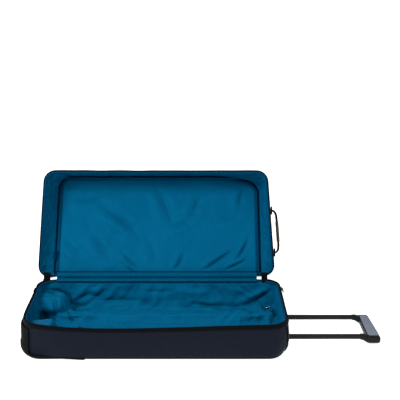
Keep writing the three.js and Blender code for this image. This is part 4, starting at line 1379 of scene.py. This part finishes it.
def makeCarryHandle():
    lowerLow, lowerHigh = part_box("handle_anchor_lower")
    upperLow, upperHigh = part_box("handle_anchor_upper")
    start = (Vector(lowerLow) + Vector(lowerHigh)) / 2
    end = (Vector(upperLow) + Vector(upperHigh)) / 2
    reach = start.x + strapSet["reach"]
    path = []
    widths = []
    depthWay = Vector(onLid(0, 0, 1) - onLid(0, 0, 0))
    for share in np.linspace(0, 1, strapSet["samples"]):
        place = start.lerp(end, float(share))
        bow = (1 - abs(2 * share - 1) ** 7) ** 0.6
        base = place.x
        place.x = base + (reach + (end.x - start.x) * share - base) * bow
        path.append(tuple(place))
        widening = float(smoothStep(bow * 1.4 - 0.5))
        wide = strapSet["endWide"] + (strapSet["wide"] - strapSet["endWide"]) * widening
        widths.append((wide / strapSet["wide"], 1.0))
    path = np.array(path)
    tangents = unit(np.gradient(path, axis=0))
    ups = np.cross(np.array(depthWay), tangents)
    strap = sweep(path, ups, bandSection(strapSet["wide"], strapSet["thick"] * 0.7), scales=widths)
    makePiece("carryStrap", strap, "webbing", "carry_handle", ["carry_strap"])
    middle = slice(15, strapSet["samples"] - 15)
    sleeve = bandSection(strapSet["wide"] * 1.02, strapSet["thick"] * 1.1, corner=0.48)
    wrap = sweep(path[middle], ups[middle], sleeve)
    makePiece("handleWrap", wrap, "wrap", "carry_handle", ["strap_wrap"], rounds=1)
    for name, low, high in (("lower", lowerLow, lowerHigh), ("upper", upperLow, upperHigh)):
        centre = (Vector(low) + Vector(high)) / 2
        along = (end - start).normalized()
        line = [centre + along * offset for offset in np.linspace(-0.014, 0.014, 8)]
        line = [(float(low.x) + 0.0015, point.y, point.z) for point in line]
        patch = sweep(line, (1, 0, 0), bandSection(0.034, 0.0032))
        makePiece("anchor" + name.capitalize(), patch, "webbing", "lid", ["handle_anchor_" + name], rounds=1)


makeCarryHandle()
print("carry handle ready")

# Grip of the pull handle, and collars on its rods


gripSet = {
    "neckFrom": 0.602,
    "neckLong": 0.022,
    "slimBy": 0.12,
    "drawOut": 0.0075,
    "collarsAt": (0.573, 0.584),
    "collarProud": 0.00025,
}


def copyShape(nodeName):
    mesh = frame["nodes"][nodeName].data
    return [tuple(vertex.co) for vertex in mesh.vertices], [tuple(face.vertices) for face in mesh.polygons]


def drawOutCorner(places):
    # the front corner of the grip reaches further out than the rear one
    reach = smoothStep((0.02 - places[:, 1]) / 0.10) * smoothStep((places[:, 0] - 0.634) / 0.014)
    places[:, 0] += gripSet["drawOut"] * reach
    return places


def slimNecks(places):
    # each neck starts close to its rod and swells towards the grip
    rodLow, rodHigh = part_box("rod_front")
    middle = (rodLow.z + rodHigh.z) / 2
    spread = abs(rodLow.y + rodHigh.y) / 2
    slim = 1 - gripSet["slimBy"] * (1 - smoothStep((places[:, 0] - gripSet["neckFrom"]) / gripSet["neckLong"]))
    side = np.sign(places[:, 1]) * spread
    places[:, 1] = side + (places[:, 1] - side) * slim
    places[:, 2] = middle + (places[:, 2] - middle) * slim
    return places


def makeGrip():
    for name, nodeName, finish, width in (("gripFrame", "grip_frame", "handle_plastic", 0.0022),
                                          ("gripInlay", "grip_pad", "soft_grip", 0.0012)):
        vertices, faces = copyShape(nodeName)
        places = drawOutCorner(slimNecks(np.array(vertices)))
        grip = makePiece(name, (places, faces), finish, "trolley_handle", [nodeName])
        roundEdges(grip, width, 3)
    proud = gripSet["collarProud"]
    collars = []
    for rodName in ("rod_front", "rod_rear"):
        low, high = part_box(rodName)
        middle = (low + high) / 2
        for x in gripSet["collarsAt"]:
            section, _ = roundedLoop((high.y - low.y) / 2 + proud, low.z - middle.z - proud,
                                     high.z - middle.z + proud, 0.0042, (3, 3, 4))
            rows = [np.stack([np.full(len(section), x + step), section[:, 0] * size + middle.y,
                              section[:, 1] * size + middle.z], axis=1)
                    for step, size in ((-0.0012, 0.94), (-0.0008, 1.0), (0.0008, 1.0), (0.0012, 0.94))]
            collars.append(loft(rows, caps=True))
    makePiece("rodCollars", joinShapes(collars), "handle_plastic", "trolley_handle")


def roundEdges(piece, width, segments=2):
    if "custom_normal" in piece.data.attributes:
        piece.data.attributes.remove(piece.data.attributes["custom_normal"])
    piece.data.polygons.foreach_set("use_smooth", [True] * len(piece.data.polygons))
    weld = piece.modifiers.new("weld", "WELD")
    weld.merge_threshold = 0.00002
    softenEdges(piece, width, segments, 32)


makeGrip()
print("grip ready")

# Small plain tag sewn inside at the handle end

tagSet = {"x": 0.343, "y": 0.088, "size": (0.017, 0.010, 0.0012), "lift": 0.0035}


def makeTag():
    mesh = trayLining.data
    places = np.array([vertex.co for vertex in mesh.vertices])
    normals = np.array([vertex.normal for vertex in mesh.vertices])
    near = np.argsort((places[:, 0] - tagSet["x"]) ** 2 + (places[:, 1] - tagSet["y"]) ** 2)[:30]
    normal = normals[near].mean(axis=0)
    normal = normal / np.linalg.norm(normal) * np.sign(normal[2])
    middle = np.array((tagSet["x"], tagSet["y"], places[near, 2].max())) + normal * tagSet["lift"]
    long = np.cross((0, 1, 0), normal)
    long = long / np.linalg.norm(long)
    wide, tall, thick = tagSet["size"]
    line = [middle + long * offset for offset in np.linspace(-wide / 2, wide / 2, 6)]
    makePiece("plainTag", sweep(line, normal, bandSection(tall, thick)), "tagMetal", "tray", rounds=1)


makeTag()

# CAD parts that stay in view: round their edges and give them their finish

slotOfNode = {part["node"]: part["material_slot"] for part in frame["record"]["subparts"]}
edgeWidths = {"rod_front": 0.0008, "rod_rear": 0.0008}
paintedTrim = ("pocket_slider", "pocket_puller")    # made to match the inner panel's zip
for nodeName, part in frame["nodes"].items():
    part.data.materials.clear()
    part.data.materials.append(finishes["grooveTape" if nodeName in paintedTrim else slotOfNode[nodeName]])
    if not part.hide_render:
        roundEdges(part, edgeWidths.get(nodeName, 0.0005))
print("kept parts ready")
